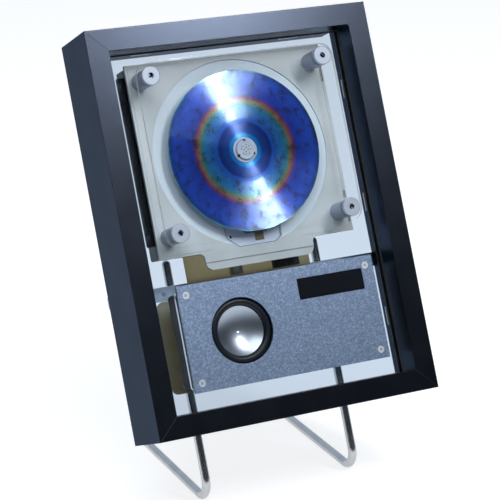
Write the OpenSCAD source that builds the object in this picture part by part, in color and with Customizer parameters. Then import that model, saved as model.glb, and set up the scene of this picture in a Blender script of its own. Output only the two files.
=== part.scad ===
// Framed disc player: a shadow-box frame holding a disc drive above a small amplifier,
// standing on two bent rods. Pieces are drawn upright, with X to the right, Y going back from
// the front face of the frame and Z up from its centre, and then leaned back onto the rods.

/* [Frame] */
// Overall width of the frame
frame_w = 225; // [215:1:245]
// Overall height of the frame
frame_h = 295; // [288:1:320]
// Depth of the frame from front to back
frame_d = 52; // [52:1:60]
// Width of each rail seen from the front
rail_w = 16; // [15:0.5:20]
// Depth of the full-width lip in front of the rebate
lip_d = 18; // [16:0.5:19]
// How far the rebate is cut into each rail
rebate = 2; // [1.5:0.1:3]
// Open line left between the lip and the liner strips
liner_line = 0.6; // [0.4:0.1:1]
// Thickness of the two side rails behind the panel
side_wall = 7; // [6.5:0.5:8]
// Leg length of the corner plates let into the back
corner_leg = 26; // [20:1:30]
// Width of the corner plates
corner_w = 5.5; // [4.5:0.5:6]
// Thickness of the corner and hanging plates
plate_t = 1.5; // [1:0.1:2]

/* [Back panel] */
// Depth of the front face of the clear back panel
panel_y = 27; // [26.5:0.1:27.5]
// Thickness of the clear back panel
panel_t = 3; // [2.5:0.1:3.2]
// Gap between the panel and the rebate all round
panel_gap = 0.3; // [0.2:0.1:0.6]
// Length of each spring clip that holds the panel
clip_len = 14; // [10:1:18]
// Sheet thickness of the clips
clip_t = 1.2; // [0.8:0.1:1.5]
// How far the clips reach over the edge of the panel
clip_cover = 1.6; // [1.4:0.1:2]

/* [Stand] */
// Angle by which the player leans back
lean = 24.5; // [18:0.5:28]
// Diameter of the leg rods
rod_d = 6.5; // [6:0.1:7]
// Distance between the two legs
leg_spacing = 122; // [112:1:128]
// Centre-line radius of the bend at each foot
bend_r = 12; // [9:0.5:14]
// Distance from the frame's lower edge down to the corner of the bend
leg_drop = 52; // [46:1:60]
// Distance from the frame's lower edge up to the end of each rod
leg_rise = 129.5; // [124:0.5:134]
// Length of the arm on the table, from the corner of the bend
leg_arm = 124; // [118:1:134]
// Thickness of the two flat bars that carry the legs
bar_t = 3.2; // [2.8:0.1:4]
// Height of the flat bars
bar_h = 10.5; // [9.5:0.5:11]
// Distance from the ends of the upper bar to the sides of the frame
bar_inset = 0.5; // [0.2:0.1:1]
// Length of the lower bar
low_bar_len = 150; // [148:1:156]
// Height of the middle of the upper bar
bar_z = -42.75; // [-43.5:0.25:-42]
// Sheet thickness of the saddles
saddle_t = 1.5; // [1.2:0.1:2]
// Width of each saddle along its rod
saddle_w = 8.5; // [7:0.5:9]
// Length of each saddle ear
saddle_ear = 8; // [7:0.5:9]

/* [Disc] */
// Diameter of the disc
disc_d = 120; // [116:1:121]
// Thickness of the disc
disc_t = 1.2; // [1.1:0.1:1.3]
// Diameter of the hole in the disc
disc_bore = 15; // [14.8:0.1:15.2]
// Height of the disc's centre
disc_z = 50; // [49:0.5:51]
// Depth of the disc's front face
disc_y = 14.5; // [14:0.1:15]

/* [Tray and cover] */
// Width of the tray
tray_w = 158; // [156:1:160]
// Height of the top edge of the tray
tray_top = 123.2; // [121:0.2:125]
// Height of the lower edge of the tray beside the tongue
tray_low = -20; // [-21:0.5:-19.5]
// Depth of the tray's front face
tray_y = 22; // [21.6:0.1:22.4]
// Thickness of the tray
tray_t = 2.5; // [2.2:0.1:2.8]
// Width of the tongue below the tray
tongue_w = 88; // [84:1:92]
// Height of the lower edge of the tongue
tongue_low = -32.8; // [-34:0.2:-32]
// Corner radius of the tongue
tongue_r = 6; // [4:0.5:7]
// Radius of the hollow corners where the tongue meets the tray
shoulder_r = 4; // [3:0.5:5]
// Radius of the well round the disc
well_r = 69.5; // [68:0.5:70]
// Depth of the well
well_depth = 0.8; // [0.5:0.1:1]
// Depth of the finger notch
notch_depth = 1.6; // [1.2:0.1:1.8]
// Diameter of the cable hole in the notch
notch_hole_d = 2.2; // [1.8:0.1:2.6]
// Sideways distance between the standoffs
post_dx = 138; // [136:0.5:139]
// Distance between the upper and lower standoffs
post_dz = 114.8; // [113:0.2:116]
// Height of the middle of the standoffs
post_z = 52.8; // [52:0.2:53.6]
// Diameter of the standoff barrels
barrel_d = 13; // [11:0.5:13]
// Diameter of the caps
cap_d = 14; // [13:0.5:15]
// Thickness of the caps
cap_t = 3; // [2.5:0.1:3.4]
// How far the caps stand out in front of the frame
cap_proud = 2; // [1:0.1:2.5]
// Hexagon key size of the caps
cap_key = 4; // [3:0.5:5]
// Depth of the hexagon recess
cap_key_depth = 2; // [1.5:0.1:2.4]
// Diameter of the screw shank on each cap
cap_screw_d = 4; // [3:0.5:5]
// Thickness of the clear cover plate
cover_t = 3; // [2.5:0.1:3.4]
// Distance from the standoff axes to the edge of the cover plate
cover_edge = 10; // [8:0.5:11]

/* [Drive] */
// Thickness of the deck plate between the tray and the panel
deck_t = 2.5; // [2.2:0.1:2.6]
// How far the deck and drive box stand back from the tray's edge
deck_inset = 1.2; // [0.8:0.1:2]
// Depth of the drive box behind the panel
box_depth = 16; // [15.5:0.1:16.4]
// Wall of the drive box
box_wall = 2; // [1.5:0.1:2.5]
// Width of the corner posts
corner_post_w = 19; // [17:0.5:20]
// Height of the corner posts
corner_post_h = 29; // [27:0.5:31]
// Clearance between the drive box and the corner posts
corner_post_gap = 0.5; // [0.3:0.1:1]
// Width of the mechanism slot through deck and panel
slot_w = 33; // [32:0.5:33.5]
// Diameter of the hub flange behind the disc
hub_flange_d = 20.6; // [19:0.2:23]
// Thickness of the hub flange
hub_flange_t = 2; // [1.5:0.1:2.2]
// Radial clearance between the hub and the disc
hub_fit = 0.08; // [0.05:0.01:0.1]
// How far the hub's nose stands out in front of the disc
hub_nose = 1.9; // [1.5:0.1:2.4]
// Diameter of the three disc-holding balls
ball_d = 2.2; // [1.8:0.1:2.4]
// Diameter of the spindle
spindle_d = 2; // [1.8:0.1:2.4]
// Diameter of the spindle motor
motor_d = 24; // [22:0.5:25]
// Gap between the hub flange and the motor
motor_gap = 2; // [1.5:0.1:2.4]
// Radial running clearance of shafts and rods
run_fit = 0.05; // [0.03:0.01:0.08]
// Distance from the back panel to the mechanism plate
mech_gap = 6; // [5.8:0.1:6.2]
// Thickness of the mechanism plate
mech_t = 2; // [1.6:0.1:2.2]
// Distance between the two guide rods
guide_dx = 23; // [22:0.5:24]
// Diameter of the guide rods
guide_d = 2.5; // [2:0.1:2.6]
// Distance from the disc's centre to the lens when parked
lens_home = 23; // [22.5:0.1:24]
// Travel of the pickup sled
sled_travel = 32.5; // [32:0.5:33.5]
// Module of the rack and its pinion
rack_module = 0.6; // [0.58:0.01:0.62]
// Number of teeth on the rack pinion
pinion_teeth = 12; // [12:1:13]
// Module of the motor gear pair
gear_module = 0.5; // [0.48:0.01:0.52]
// Number of teeth on the large gear
gear_teeth = 36; // [34:2:38]
// Number of teeth on the motor gear
motor_teeth = 10; // [10:2:12]
// Diameter of the sled motor
sled_motor_d = 15; // [12:0.5:16]
// Width of the flat ribbon in the notch
ribbon_w = 7; // [6:0.5:8]
// Thickness of the flat ribbon
ribbon_t = 0.3; // [0.2:0.05:0.4]

/* [Amplifier] */
// Width of the faceplate
face_w = 157.5; // [156:0.5:160]
// Height of the top edge of the faceplate
face_top = -41.5; // [-42:0.25:-41]
// Height of the lower edge of the faceplate
face_low = -118.6; // [-120:0.2:-118]
// Depth of the faceplate's front
face_y = 2; // [1:0.1:2.4]
// Thickness of the faceplate
face_t = 2; // [1.5:0.1:2.4]
// How far the amplifier case stands in from the faceplate's sides
case_inset = 2.2; // [1.6:0.1:3]
// Height of the top of the amplifier case
case_top = -46; // [-46.4:0.1:-45.5]
// Height of the bottom of the amplifier case
case_low = -115.6; // [-116.2:0.1:-115]
// Depth of the front half of the case
case_front_d = 6; // [5.8:0.1:6.4]
// Thickness of the bright middle plate
mid_t = 3; // [2.6:0.1:3.4]
// How far the middle plate stands out past the case
mid_proud = 0.7; // [0.4:0.1:1]
// Wall of the rear half of the case
case_wall = 2.5; // [2:0.1:3]
// Sideways distance between the faceplate screws
screw_dx = 144.6; // [143:0.2:146]
// Height of the upper faceplate screws
screw_top = -48.7; // [-49:0.1:-48.4]
// Height of the lower faceplate screws
screw_low = -112; // [-112.4:0.1:-111.6]
// Shank diameter of the faceplate screws
face_screw_d = 3; // [2.5:0.1:3]
// Head diameter of the faceplate screws
face_head_d = 5.4; // [5:0.1:6]
// Width of the display window
window_w = 53.5; // [50:0.5:55]
// Height of the display window
window_h = 15.4; // [14:0.2:16]
// Sideways place of the middle of the window
window_x = 42; // [41:0.2:43]
// Height of the middle of the window
window_z = -58.1; // [-58.5:0.1:-57.5]
// Clearance round the display window
window_gap = 0.15; // [0.1:0.05:0.3]

/* [Speaker] */
// Sideways place of the speaker
speaker_x = -34.2; // [-35:0.2:-33]
// Height of the speaker
speaker_z = -80.1; // [-81:0.1:-79]
// Diameter of the opening in the faceplate
speaker_d = 48; // [47:0.5:49]
// Diameter of the metal cone
cone_d = 36; // [35:0.5:37]
// Depth of the cone's rim behind the faceplate's front
cone_rim = 4; // [3.6:0.1:4.4]
// Depth of the hollow of the cone
cone_dish = 5; // [4.5:0.1:5.5]
// Thickness of the cone
cone_t = 0.8; // [0.6:0.1:1]
// Width of the surround's lip under the faceplate
surround_lip = 1; // [0.8:0.1:1.2]
// Diameter of the basket's flange
basket_d = 54; // [53:0.5:55]
// Diameter of the magnet
magnet_d = 28; // [26:1:30]
// Depth of the magnet
magnet_h = 6.5; // [6:0.1:7]
// Diameter of the voice coil
coil_d = 16; // [15:0.5:17]
// Travel of the cone each way
cone_travel = 0.8; // [0.5:0.1:0.8]

/* [Circuit boards] */
// Thickness of the circuit boards
board_t = 1.6; // [1.2:0.1:1.6]
// Width of the drive board
drive_board_w = 101; // [98:1:104]
// Height of the drive board's lower edge
drive_board_low = -38.5; // [-39:0.25:-38]
// Height of the drive board's top edge
drive_board_top = 62; // [60:1:70]
// Gap between the drive box and its board
drive_board_gap = 2.5; // [2:0.1:2.8]
// Width of the amplifier board
amp_board_w = 156; // [152:1:158]
// Height of the amplifier board's top edge
amp_board_top = -48.5; // [-49:0.25:-48]
// Height of the amplifier board's lower edge
amp_board_low = -117; // [-118:0.5:-116]
// Corner radius of the amplifier board
amp_board_r = 5; // [3:0.5:6]
// Length of the spacers behind the amplifier
amp_spacer = 18.5; // [18:0.1:19]
// Diameter of the board spacers
spacer_d = 6; // [5:0.5:7]

/* [Side controls] */
// Height of the middle button
button_z = -80; // [-82:0.5:-78]
// Distance between neighbouring buttons
button_pitch = 10; // [9:0.5:10.5]
// Diameter of the buttons
button_d = 5.6; // [5:0.1:5.8]
// Travel of the buttons
button_travel = 0.9; // [0.6:0.1:1]
// Radial clearance round each button
button_gap = 0.3; // [0.25:0.05:0.4]
// Height of the switches behind the buttons
switch_h = 3.8; // [3.5:0.1:3.9]
// Thickness of the metal strip round the buttons
strip_t = 0.8; // [0.6:0.1:1]
// Height of the sound socket
socket_z = -112; // [-113:0.5:-111]
// Bore of the sound socket
socket_bore = 3.6; // [3.5:0.05:3.7]
// Outer diameter of the sound socket
socket_d = 8; // [7:0.5:8]
// Height of the power inlet
inlet_z = -124; // [-125:0.5:-123]
// Bore of the power inlet
inlet_bore = 5.6; // [5.5:0.1:6.4]
// Outer diameter of the power inlet
inlet_d = 11; // [10:0.5:11]

/* [Wall hanging] */
// Distance between the two hanging plates
hang_spacing = 124; // [100:1:126]
// Length of the hanging plates
hang_len = 34; // [32:1:40]
// Width of the hanging plates
hang_w = 12; // [11.5:0.5:13]
// Diameter of the large end of each keyhole
key_head_d = 7; // [6.5:0.5:7.5]
// Width of the narrow end of each keyhole
key_slot_w = 3.8; // [3.4:0.1:4]
// Distance from the large to the narrow end
key_slot_len = 5; // [4.5:0.5:5.5]
// Depth of the hollow for the wall screw's head
key_room = 6; // [5:0.5:8]

/* [Hidden] */
$fn = 48;
eps = 0.01;

// Frame and stand
inner_w = frame_w - 2 * rail_w;
inner_h = frame_h - 2 * rail_w;
rebate_x = inner_w / 2 + rebate;
rebate_z = inner_h / 2 + rebate;
side_x = frame_w / 2;
side_in = side_x - side_wall;
bar_len = frame_w - 2 * bar_inset;
plate_y = frame_d - plate_t;
hang_back = frame_d + plate_t;
panel_back = panel_y + panel_t;
clip_foot = 6;
clip_side_zs = [-88, 0, 88];
clip_end_xs = [-60, 60];
rod_r = rod_d / 2;
leg_x = leg_spacing / 2;
leg_y = frame_d + bar_t + rod_r;
foot_z = -frame_h / 2 - leg_drop;
arm_root = 0.4;
arm_step = 0.02;
leg_turn = 90 + lean;
bend_tangent = bend_r * tan(leg_turn / 2);
stand_z = rod_r + leg_y * sin(lean) - foot_z * cos(lean);
front_y = -frame_h / 2 * sin(lean);
arm_end_y = leg_y * cos(lean) + foot_z * sin(lean) + leg_arm;
back_y = max(frame_h / 2 * sin(lean) + frame_d * cos(lean), arm_end_y);
low_bar_z = -frame_h / 2 + rail_w / 2;
bar_round = 2;

// Screws at the back
screw_d = 3;
screw_fit = 0.05;
pilot_depth = 9;
head_d = 5.6;
head_t = 1.7;
corner_out = (side_wall - corner_w) / 2;
corner_screw_in = side_wall / 2;
corner_screw_along = corner_out + corner_leg - 4;
function four_ways(x, z) = [for (sx = [-1, 1], sz = [-1, 1]) [sx * x, sz * z]];
corner_screws = concat(four_ways(side_x - corner_screw_in, frame_h / 2 - corner_screw_along),
    four_ways(side_x - corner_screw_along, frame_h / 2 - corner_screw_in));
hang_x = hang_spacing / 2;
hang_z = frame_h / 2 - (rail_w - rebate) / 2;
hang_screw_dx = hang_len / 2 - 4.5;
hang_screws = [for (x = [-hang_x, hang_x], s = [-1, 1]) [x + s * hang_screw_dx, hang_z]];
key_z = hang_z - (key_slot_len + key_slot_w / 2 - key_head_d / 2) / 2;
bar_screws = [for (s = [-1, 1]) [s * (side_x - side_wall / 2), bar_z]];
low_bar_screws = [for (x = [-42, -15, 15, 42]) [x, low_bar_z]];
saddle_half = rod_r + saddle_t + saddle_ear;
saddle_reach = rod_r + saddle_t + saddle_ear / 2;
saddle_points = [for (x = [-leg_x, leg_x], z = [bar_z, low_bar_z]) [x, z]];
high_saddle_screws = [for (x = [-leg_x, leg_x], s = [-1, 1]) [x + s * saddle_reach, bar_z]];
low_saddle_screws = [for (p = high_saddle_screws) [p[0], low_bar_z]];

// Cover, tray and drive
post_x = post_dx / 2;
post_low = post_z - post_dz / 2;
post_high = post_z + post_dz / 2;
post_points = [for (x = [-post_x, post_x], z = [post_low, post_high]) [x, z]];
hole_fit = 0.1;
cap_y = -cap_proud;
cover_y = cap_y + cap_t;
cover_back = cover_y + cover_t;
cap_screw_reach = 8;
tray_back = tray_y + tray_t;
tray_window = 1.5;
tongue_line = -27;
tongue_step = 0.6;
deck_w = tray_w - 2 * deck_inset;
deck_top = tray_top - deck_inset;
deck_low = tray_low + deck_inset;
box_back = panel_back + box_depth;
disc_back = disc_y + disc_t;
motor_y = disc_back + hub_flange_t + motor_gap;
ball_ring = disc_bore / 2 - 0.5;
ball_points = [for (a = [90, 210, 330]) ball_ring * [cos(a), sin(a)] + [0, disc_z]];
slot_low = deck_low + box_wall;
slot_top = disc_z + slot_w / 2;
slot_round = 3;
vent_pitch = 8;
vent_w = 2.4;
vent_zs = [84, 108];
lens_slot = 18.4;
lens_z = disc_z - lens_home;
head_wall = 0.8;
head_zs = [lens_z - 3.4, lens_z + 5.9];
lens_slot_low = head_zs[0] - head_wall - sled_travel - 2 * ribbon_t;

// The notch narrows downward from the well
notch = [[-24.8, 2], [-24.8, -4.5], [-24.1, -11.3], [-15.4, -18.8], [14, -18.8], [19.5, -15], [19.5, 2]];
notch_floor = tray_y + notch_depth;
notch_hole = [-20.4, -11];
ribbon_x = 2.4;
ribbon_zs = [-16.3, lens_slot_low + ribbon_t];

// Mechanism behind the disc
mech_y = panel_back + mech_gap;
mech_back = mech_y + mech_t;
mech_xs = [-20, 43];
mech_zs = [slot_low + 0.4, slot_top];
mech_boss_in = 6;
mech_points = [for (x = [mech_xs[0] + mech_boss_in, mech_xs[1] - mech_boss_in],
    z = [mech_zs[0] + mech_boss_in, mech_zs[1] - mech_boss_in]) [x, z]];
guide_y = 29.2;
holder_half = 2.5;
holder_t = 3;
holder_zs = [mech_zs[0] + holder_t / 2, disc_z - 10];
gear_y = mech_y - 2.4;
gear_t = 1.8;
gear_pin_d = 2;
gear_end = 0.3;
pinion_y = panel_back + 1;
pinion_r = rack_module * pinion_teeth / 2;
gear_r = gear_module * gear_teeth / 2;
motor_gear_r = gear_module * motor_teeth / 2;
mesh_gap = 0.06;
rack_x = 18.9;
rack_foot = rack_x - 1.2 * rack_module;
pinion_x = rack_x + pinion_r + mesh_gap;
pinion_z = lens_z - 4;
motor_x = pinion_x + gear_r + motor_gear_r + mesh_gap;
rack_zs = [pinion_z - 4, pinion_z + sled_travel + 4];
sled_shaft_d = 1.5;
sled_shaft_len = 4;
sled_half = 14.8;
sled_y = 25.5;
sled_back = gear_y - 0.4;
sled_zs = [lens_z - 5, lens_z + 10];
head_half = 6.7;
head_y = 20.2;
head_floor = 24.6;
lens_gap = 0.4;
lens_y = 17.9;
lens_d = 5;
carrier_t = 4.6;

// Amplifier and speaker
case_y = face_y + face_t;
case_mid = case_y + case_front_d;
case_rear = case_mid + mid_t;
case_x = face_w / 2 - case_inset;
case_round = 3;
boss_d = 8.4;
face_points = [for (x = [-screw_dx / 2, screw_dx / 2], z = [screw_low, screw_top]) [x, z]];
face_head_t = (face_head_d - face_screw_d) / 2;
nut_across = 5.5;
display_d = 4;
display_rim = 2;
glass_set = 0.2;
cross_half = 1.4;
cross_w = 0.6;
cross_depth = 0.9;
nut_t = 2.4;
speaker_at = [speaker_x, speaker_z];
cone_r = cone_d / 2;
cone_y = face_y + cone_rim;
dish_r = (cone_r * cone_r + cone_dish * cone_dish) / (2 * cone_dish);
function dish_depth(r) = cone_y + cone_dish - dish_r + sqrt(dish_r * dish_r - r * r);
roll_r = (cone_r + speaker_d / 2) / 2;
roll_out = (speaker_d / 2 - cone_r) / 2 - 0.1;
rubber_t = 0.6;
lip_r = speaker_d / 2 + surround_lip;
basket_y = cone_y + cone_travel + 0.4;
basket_step = 1.5;
basket_window = 12;
basket_bridge = 2;
basket_t = 1.2;
basket_rim = lip_r + 0.6;
seat_r = basket_d / 2 - 1.5;
basket_foot_r = magnet_d / 2 + 1;
magnet_y = basket_y + 9.8;
magnet_floor = 2;
coil_r = coil_d / 2;
coil_t = 0.4;
coil_gap = 0.5;
coil_y = dish_depth(coil_r - coil_t) + cone_t;
coil_end = magnet_y + 2;

// Circuit boards and side controls
drive_board_y = box_back + drive_board_gap;
chip_t = 1.6;
chips = [[-9, 12, 18, 18], [20, 0, 12, 8], [-34, 22, 12, 8], [8, 40, 16, 10]];
capacitors = [[-36, 2], [-26, 2]];
capacitor_d = 6.4;
block_xs = [19, 40];
connector_xs = [-16, -8];
connector_d = 6;
connector_h = 7.5;
block_h = 9.5;
block_d = 4;
board_round = 1.5;
spacer_in = 7;
drive_spacer_x = drive_board_w / 2 - spacer_in;
drive_spacers = [for (x = [-drive_spacer_x, drive_spacer_x], z = [deck_low + spacer_in + spacer_d / 2,
    drive_board_top - spacer_in]) [x, z]];
amp_board_y = panel_back + amp_spacer;
amp_spacer_in = spacer_in + amp_board_r;
amp_spacer_x = amp_board_w / 2 - amp_spacer_in;
amp_spacers = [for (x = [-amp_spacer_x, amp_spacer_x], z = [amp_board_low + spacer_in + 2,
    amp_board_top - spacer_in - 2]) [x, z]];
button_y = (lip_d + liner_line + panel_y) / 2;
button_zs = [for (i = [-2:2]) button_z + i * button_pitch];
button_r = button_d / 2;
flange_r = button_r + 0.8;
flange_t = 1.3;
flange_set = 0.3;
button_set = 0.1;
switch_gap = 0.2;
channel_x = side_x - 3.2;
channel_ys = [button_y - 4, button_y + 4];
channel_end = 6;
channel_zs = [button_z - 2 * button_pitch - channel_end, button_z + 2 * button_pitch + channel_end];
switch_x = rebate_x + board_t + switch_h;
switch_body = 4.4;
switch_pin_r = 1.2;
switch_pin_h = 0.8;
board_fit = 0.3;
strip_half = 4.6;
socket_back = rebate_x + 0.1;
socket_floor = 1.5;
inlet_depth = 9.5;
inlet_pin_r = 1;

// Stands the upright drawing on its legs, with the middle of its footprint at the origin
module leaned() {
    translate([0, -(front_y + back_y) / 2, stand_z]) rotate([-lean, 0, 0]) children();
}

// A block given by its lowest and highest value along each axis
module block(x, y, z) {
    translate([x[0], y[0], z[0]]) cube([x[1] - x[0], y[1] - y[0], z[1] - z[0]]);
}

// A cylinder running backward from y[0] to y[1], centred on the point at
module round_bar(at, y, r) {
    translate([at[0], y[0], at[1]]) rotate([-90, 0, 0]) cylinder(h = y[1] - y[0], r = r);
}

// The same cylinder at every point of a list
module round_bars(points, y, r) {
    for (p = points) round_bar(p, y, r);
}

// A cylinder running along X from x[0] to x[1], centred on the depth and height at
module cross_pin(at, x, r) {
    translate([x[0], at[0], at[1]]) rotate([0, 90, 0]) cylinder(h = x[1] - x[0], r = r);
}

// A flat outline drawn in X and Z, given thickness from y[0] to y[1]
module slab(y) {
    translate([0, y[1], 0]) rotate([90, 0, 0]) linear_extrude(y[1] - y[0]) children();
}

// A profile of radius against depth, turned about a line that runs backward through at
module turned(at) {
    translate([at[0], 0, at[1]]) rotate([-90, 0, 0]) rotate_extrude() children();
}

// An outline drawn in Y and Z, given width along X
module side_slab(x) {
    translate([x[0], 0, 0]) rotate([90, 0, 90]) linear_extrude(x[1] - x[0]) children();
}

// A rectangle with rounded corners, from its lowest to its highest x and z
module rounded(x, z, r) {
    translate([x[0] + r, z[0]]) square([x[1] - x[0] - 2 * r, z[1] - z[0]]);
    translate([x[0], z[0] + r]) square([x[1] - x[0], z[1] - z[0] - 2 * r]);
    for (cx = [x[0] + r, x[1] - r], cz = [z[0] + r, z[1] - r]) translate([cx, cz]) circle(r);
}

// Rails, with the pockets and pilot holes that their backs share
module rail(length) {
    intersection() {
        side_slab([-length / 2, length / 2])
            polygon([[0, 0], [0, rail_w], [lip_d, rail_w], [lip_d, rail_w - rebate],
                [frame_d, rail_w - rebate], [frame_d, 0]]);
        slab([-1, frame_d + 1])
            polygon([[-length / 2, 0], [length / 2, 0], [length / 2 - rail_w, rail_w],
                [-length / 2 + rail_w, rail_w]]);
    }
}

// The four L outlines let into the corners of the frame's back
module corner_outlines(extra) {
    for (sx = [-1, 1], sz = [-1, 1]) {
        x = frame_w / 2 - corner_out + extra;
        z = frame_h / 2 - corner_out + extra;
        leg = corner_leg + 2 * extra;
        w = corner_w + 2 * extra;
        polygon([[sx * x, sz * z], [sx * (x - leg), sz * z], [sx * (x - leg), sz * (z - w)],
            [sx * (x - w), sz * (z - w)], [sx * (x - w), sz * (z - leg)], [sx * x, sz * (z - leg)]]);
    }
}

module hang_outlines() {
    x = (hang_len - hang_w) / 2;
    r = hang_w / 2;
    for (s = [-1, 1]) translate([s * hang_x, hang_z]) {
        translate([-x, -r]) square([2 * x, 2 * r]);
        for (end = [-x, x]) translate([end, 0]) circle(r);
    }
}

module keyhole_outlines(extra) {
    for (s = [-1, 1]) translate([s * hang_x, key_z]) {
        circle(d = key_head_d + 2 * extra);
        translate([-key_slot_w / 2 - extra, 0]) square([key_slot_w + 2 * extra, key_slot_len]);
        translate([0, key_slot_len]) circle(d = key_slot_w + 2 * extra);
    }
}

module pilots(points, back) {
    round_bars(points, [back - pilot_depth, back + 1], screw_d / 2 + screw_fit);
}

module back_cuts() {
    slab([plate_y, frame_d + 1]) corner_outlines(screw_fit);
    slab([frame_d - key_room, frame_d + 1]) keyhole_outlines(1);
    pilots(corner_screws, plate_y);
    pilots(concat(hang_screws, bar_screws, low_bar_screws, low_saddle_screws), frame_d);
}

module frame_bottom_rail() {
    color("#1c2026") leaned() difference() {
        translate([0, 0, -frame_h / 2]) rail(frame_w);
        back_cuts();
    }
}

module frame_top_rail() {
    color("#1c2026") leaned() difference() {
        translate([0, 0, frame_h / 2]) mirror([0, 0, 1]) rail(frame_w);
        back_cuts();
    }
}

// The side rails are thinner behind the panel than the top and bottom rails
module side_hollow(s) {
    translate([s * (side_in + inner_w / 2 - 1) / 2, 0, 0])
        block([(inner_w / 2 - 1 - side_in) / 2, (side_in - inner_w / 2 + 1) / 2], [panel_back, frame_d + 1],
            [-frame_h / 2, frame_h / 2]);
}

module frame_left_rail() {
    color("#1c2026") leaned() difference() {
        translate([-frame_w / 2, 0, 0]) rotate([0, 90, 0]) rail(frame_h);
        side_hollow(-1);
        back_cuts();
    }
}

// The right rail also holds the buttons and sockets, in a channel milled from inside
module frame_right_rail() {
    color("#1c2026") leaned() difference() {
        translate([frame_w / 2, 0, 0]) rotate([0, -90, 0]) rail(frame_h);
        side_hollow(1);
        back_cuts();
        block([inner_w / 2 - 1, channel_x], channel_ys, channel_zs);
        for (z = button_zs) cross_pin([button_y, z], [channel_x - 1, side_x + 1], button_d / 2 + button_gap);
        strip_body(screw_fit);
        cross_pin([button_y, socket_z], [rebate_x - eps, side_x + 1], socket_d / 2 + screw_fit);
        cross_pin([button_y, inlet_z], [rebate_x - eps, side_x + 1], inlet_d / 2 + screw_fit);
    }
}

module corner_plates() {
    color("silver") leaned() difference() {
        slab([frame_d - plate_t, frame_d]) corner_outlines(0);
        round_bars(corner_screws, [frame_d - plate_t - 1, frame_d + 1], screw_d / 2 + screw_fit);
    }
}

module hanging_plates() {
    color("silver") leaned() difference() {
        slab([frame_d, hang_back]) hang_outlines();
        slab([frame_d - 1, hang_back + 1]) keyhole_outlines(0);
        round_bars(hang_screws, [frame_d - 1, hang_back + 1], screw_d / 2 + screw_fit);
    }
}

// Strips that line the rebate in front of the panel
module rail_liners() {
    y = [lip_d + liner_line, panel_y];
    x = inner_w / 2;
    z = inner_h / 2;
    color("#15181c") leaned() {
        for (s = [-1, 1]) {
            translate([s * (x + rebate / 2), 0, 0])
                block([-rebate / 2, rebate / 2], y, [-z, z]);
            translate([0, 0, s * (z + rebate / 2)])
                block([-x - rebate, x + rebate], y, [-rebate / 2, rebate / 2]);
        }
    }
}

module mech_slot() {
    rounded([-slot_w / 2, slot_w / 2], [slot_low, slot_top], slot_round);
}

module back_panel() {
    x = rebate_x - panel_gap;
    z = rebate_z - panel_gap;
    color("lightsteelblue", 0.35) leaned() difference() {
        slab([panel_y, panel_back]) difference() {
            translate([-x, -z]) square([2 * x, 2 * z]);
            mech_slot();
        }
        round_bars(post_points, [panel_y - 1, panel_back + 1], cap_screw_d / 2 + hole_fit);
        round_bars(face_points, [panel_y - 1, panel_back + 1], face_screw_d / 2 + hole_fit);
    }
}

// Angle clips that hold the panel in the rebate
module panel_clips() {
    color("silver") leaned() {
        for (turn = [0, 180], z = clip_side_zs) rotate([0, turn, 0]) translate([-side_in, 0, z])
            clip(side_in - rebate_x + panel_gap + clip_cover);
        for (turn = [-90, 90], x = clip_end_xs) rotate([0, turn, 0]) translate([-rebate_z, 0, x])
            clip(panel_gap + clip_cover);
    }
}

module clip(reach) {
    translate([0, panel_back, -clip_len / 2]) linear_extrude(clip_len)
        polygon([[0, 0], [reach, 0], [reach, clip_t], [clip_t, clip_t],
            [clip_t, clip_foot], [0, clip_foot]]);
}

// Legs: an upright behind the frame, one bend, and an arm that lies on the table
module leg(x) {
    color("gainsboro") leaned() translate([x, leg_y + bend_r, foot_z + bend_tangent]) rotate([90, 0, 90]) {
        rotate(180) rotate_extrude(angle = leg_turn) translate([bend_r, 0]) circle(rod_r);
        rotate(180 + leg_turn) translate([bend_r, -arm_root, 0]) rotate([-90, 0, 0])
            rod(leg_arm - bend_tangent + arm_root, rod_r - arm_step);
        translate([-bend_r, 0, 0]) rotate([-90, 0, 0]) rod(leg_drop + leg_rise - bend_tangent, rod_r);
    }
}

module rod(length, r) {
    rotate_extrude() {
        square([r, length - r]);
        translate([0, length - r]) intersection() {
            circle(r);
            square(r);
        }
    }
}

module leg_left() {
    leg(-leg_x);
}

module leg_right() {
    leg(leg_x);
}

module stand_bars() {
    color("#a9adaf") leaned() difference() {
        slab([frame_d, frame_d + bar_t]) {
            rounded([-bar_len / 2, bar_len / 2], [bar_z - bar_h / 2, bar_z + bar_h / 2], bar_round);
            rounded([-low_bar_len / 2, low_bar_len / 2],
                [low_bar_z - bar_h / 2, low_bar_z + bar_h / 2], bar_round);
        }
        round_bars(concat(bar_screws, low_bar_screws, high_saddle_screws, low_saddle_screws),
            [frame_d - 1, frame_d + bar_t + 1], screw_d / 2 + screw_fit);
    }
}

// Saddles: a strap bent over each rod, with an ear on both sides
module leg_saddles() {
    color("silver") leaned() for (p = saddle_points) difference() {
        union() {
            round_part(p) circle(rod_r + saddle_t);
            block([p[0] - saddle_half, p[0] + saddle_half],
                [frame_d + bar_t, frame_d + bar_t + saddle_t], [p[1] - saddle_w / 2, p[1] + saddle_w / 2]);
            block([p[0] - rod_r - saddle_t, p[0] + rod_r + saddle_t],
                [frame_d + bar_t, leg_y], [p[1] - saddle_w / 2, p[1] + saddle_w / 2]);
        }
        round_part(p) circle(rod_r);
        block([p[0] - rod_r, p[0] + rod_r], [frame_d, leg_y], [p[1] - saddle_w, p[1] + saddle_w]);
        block([p[0] - saddle_half, p[0] + saddle_half], [0, frame_d + bar_t],
            [p[1] - saddle_w, p[1] + saddle_w]);
        for (s = [-1, 1]) round_bar([p[0] + s * saddle_reach, p[1]], [frame_d, leg_y],
            screw_d / 2 + screw_fit);
    }
}

module round_part(p) {
    translate([p[0], leg_y, p[1] - saddle_w / 2]) linear_extrude(saddle_w) children();
}

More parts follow.
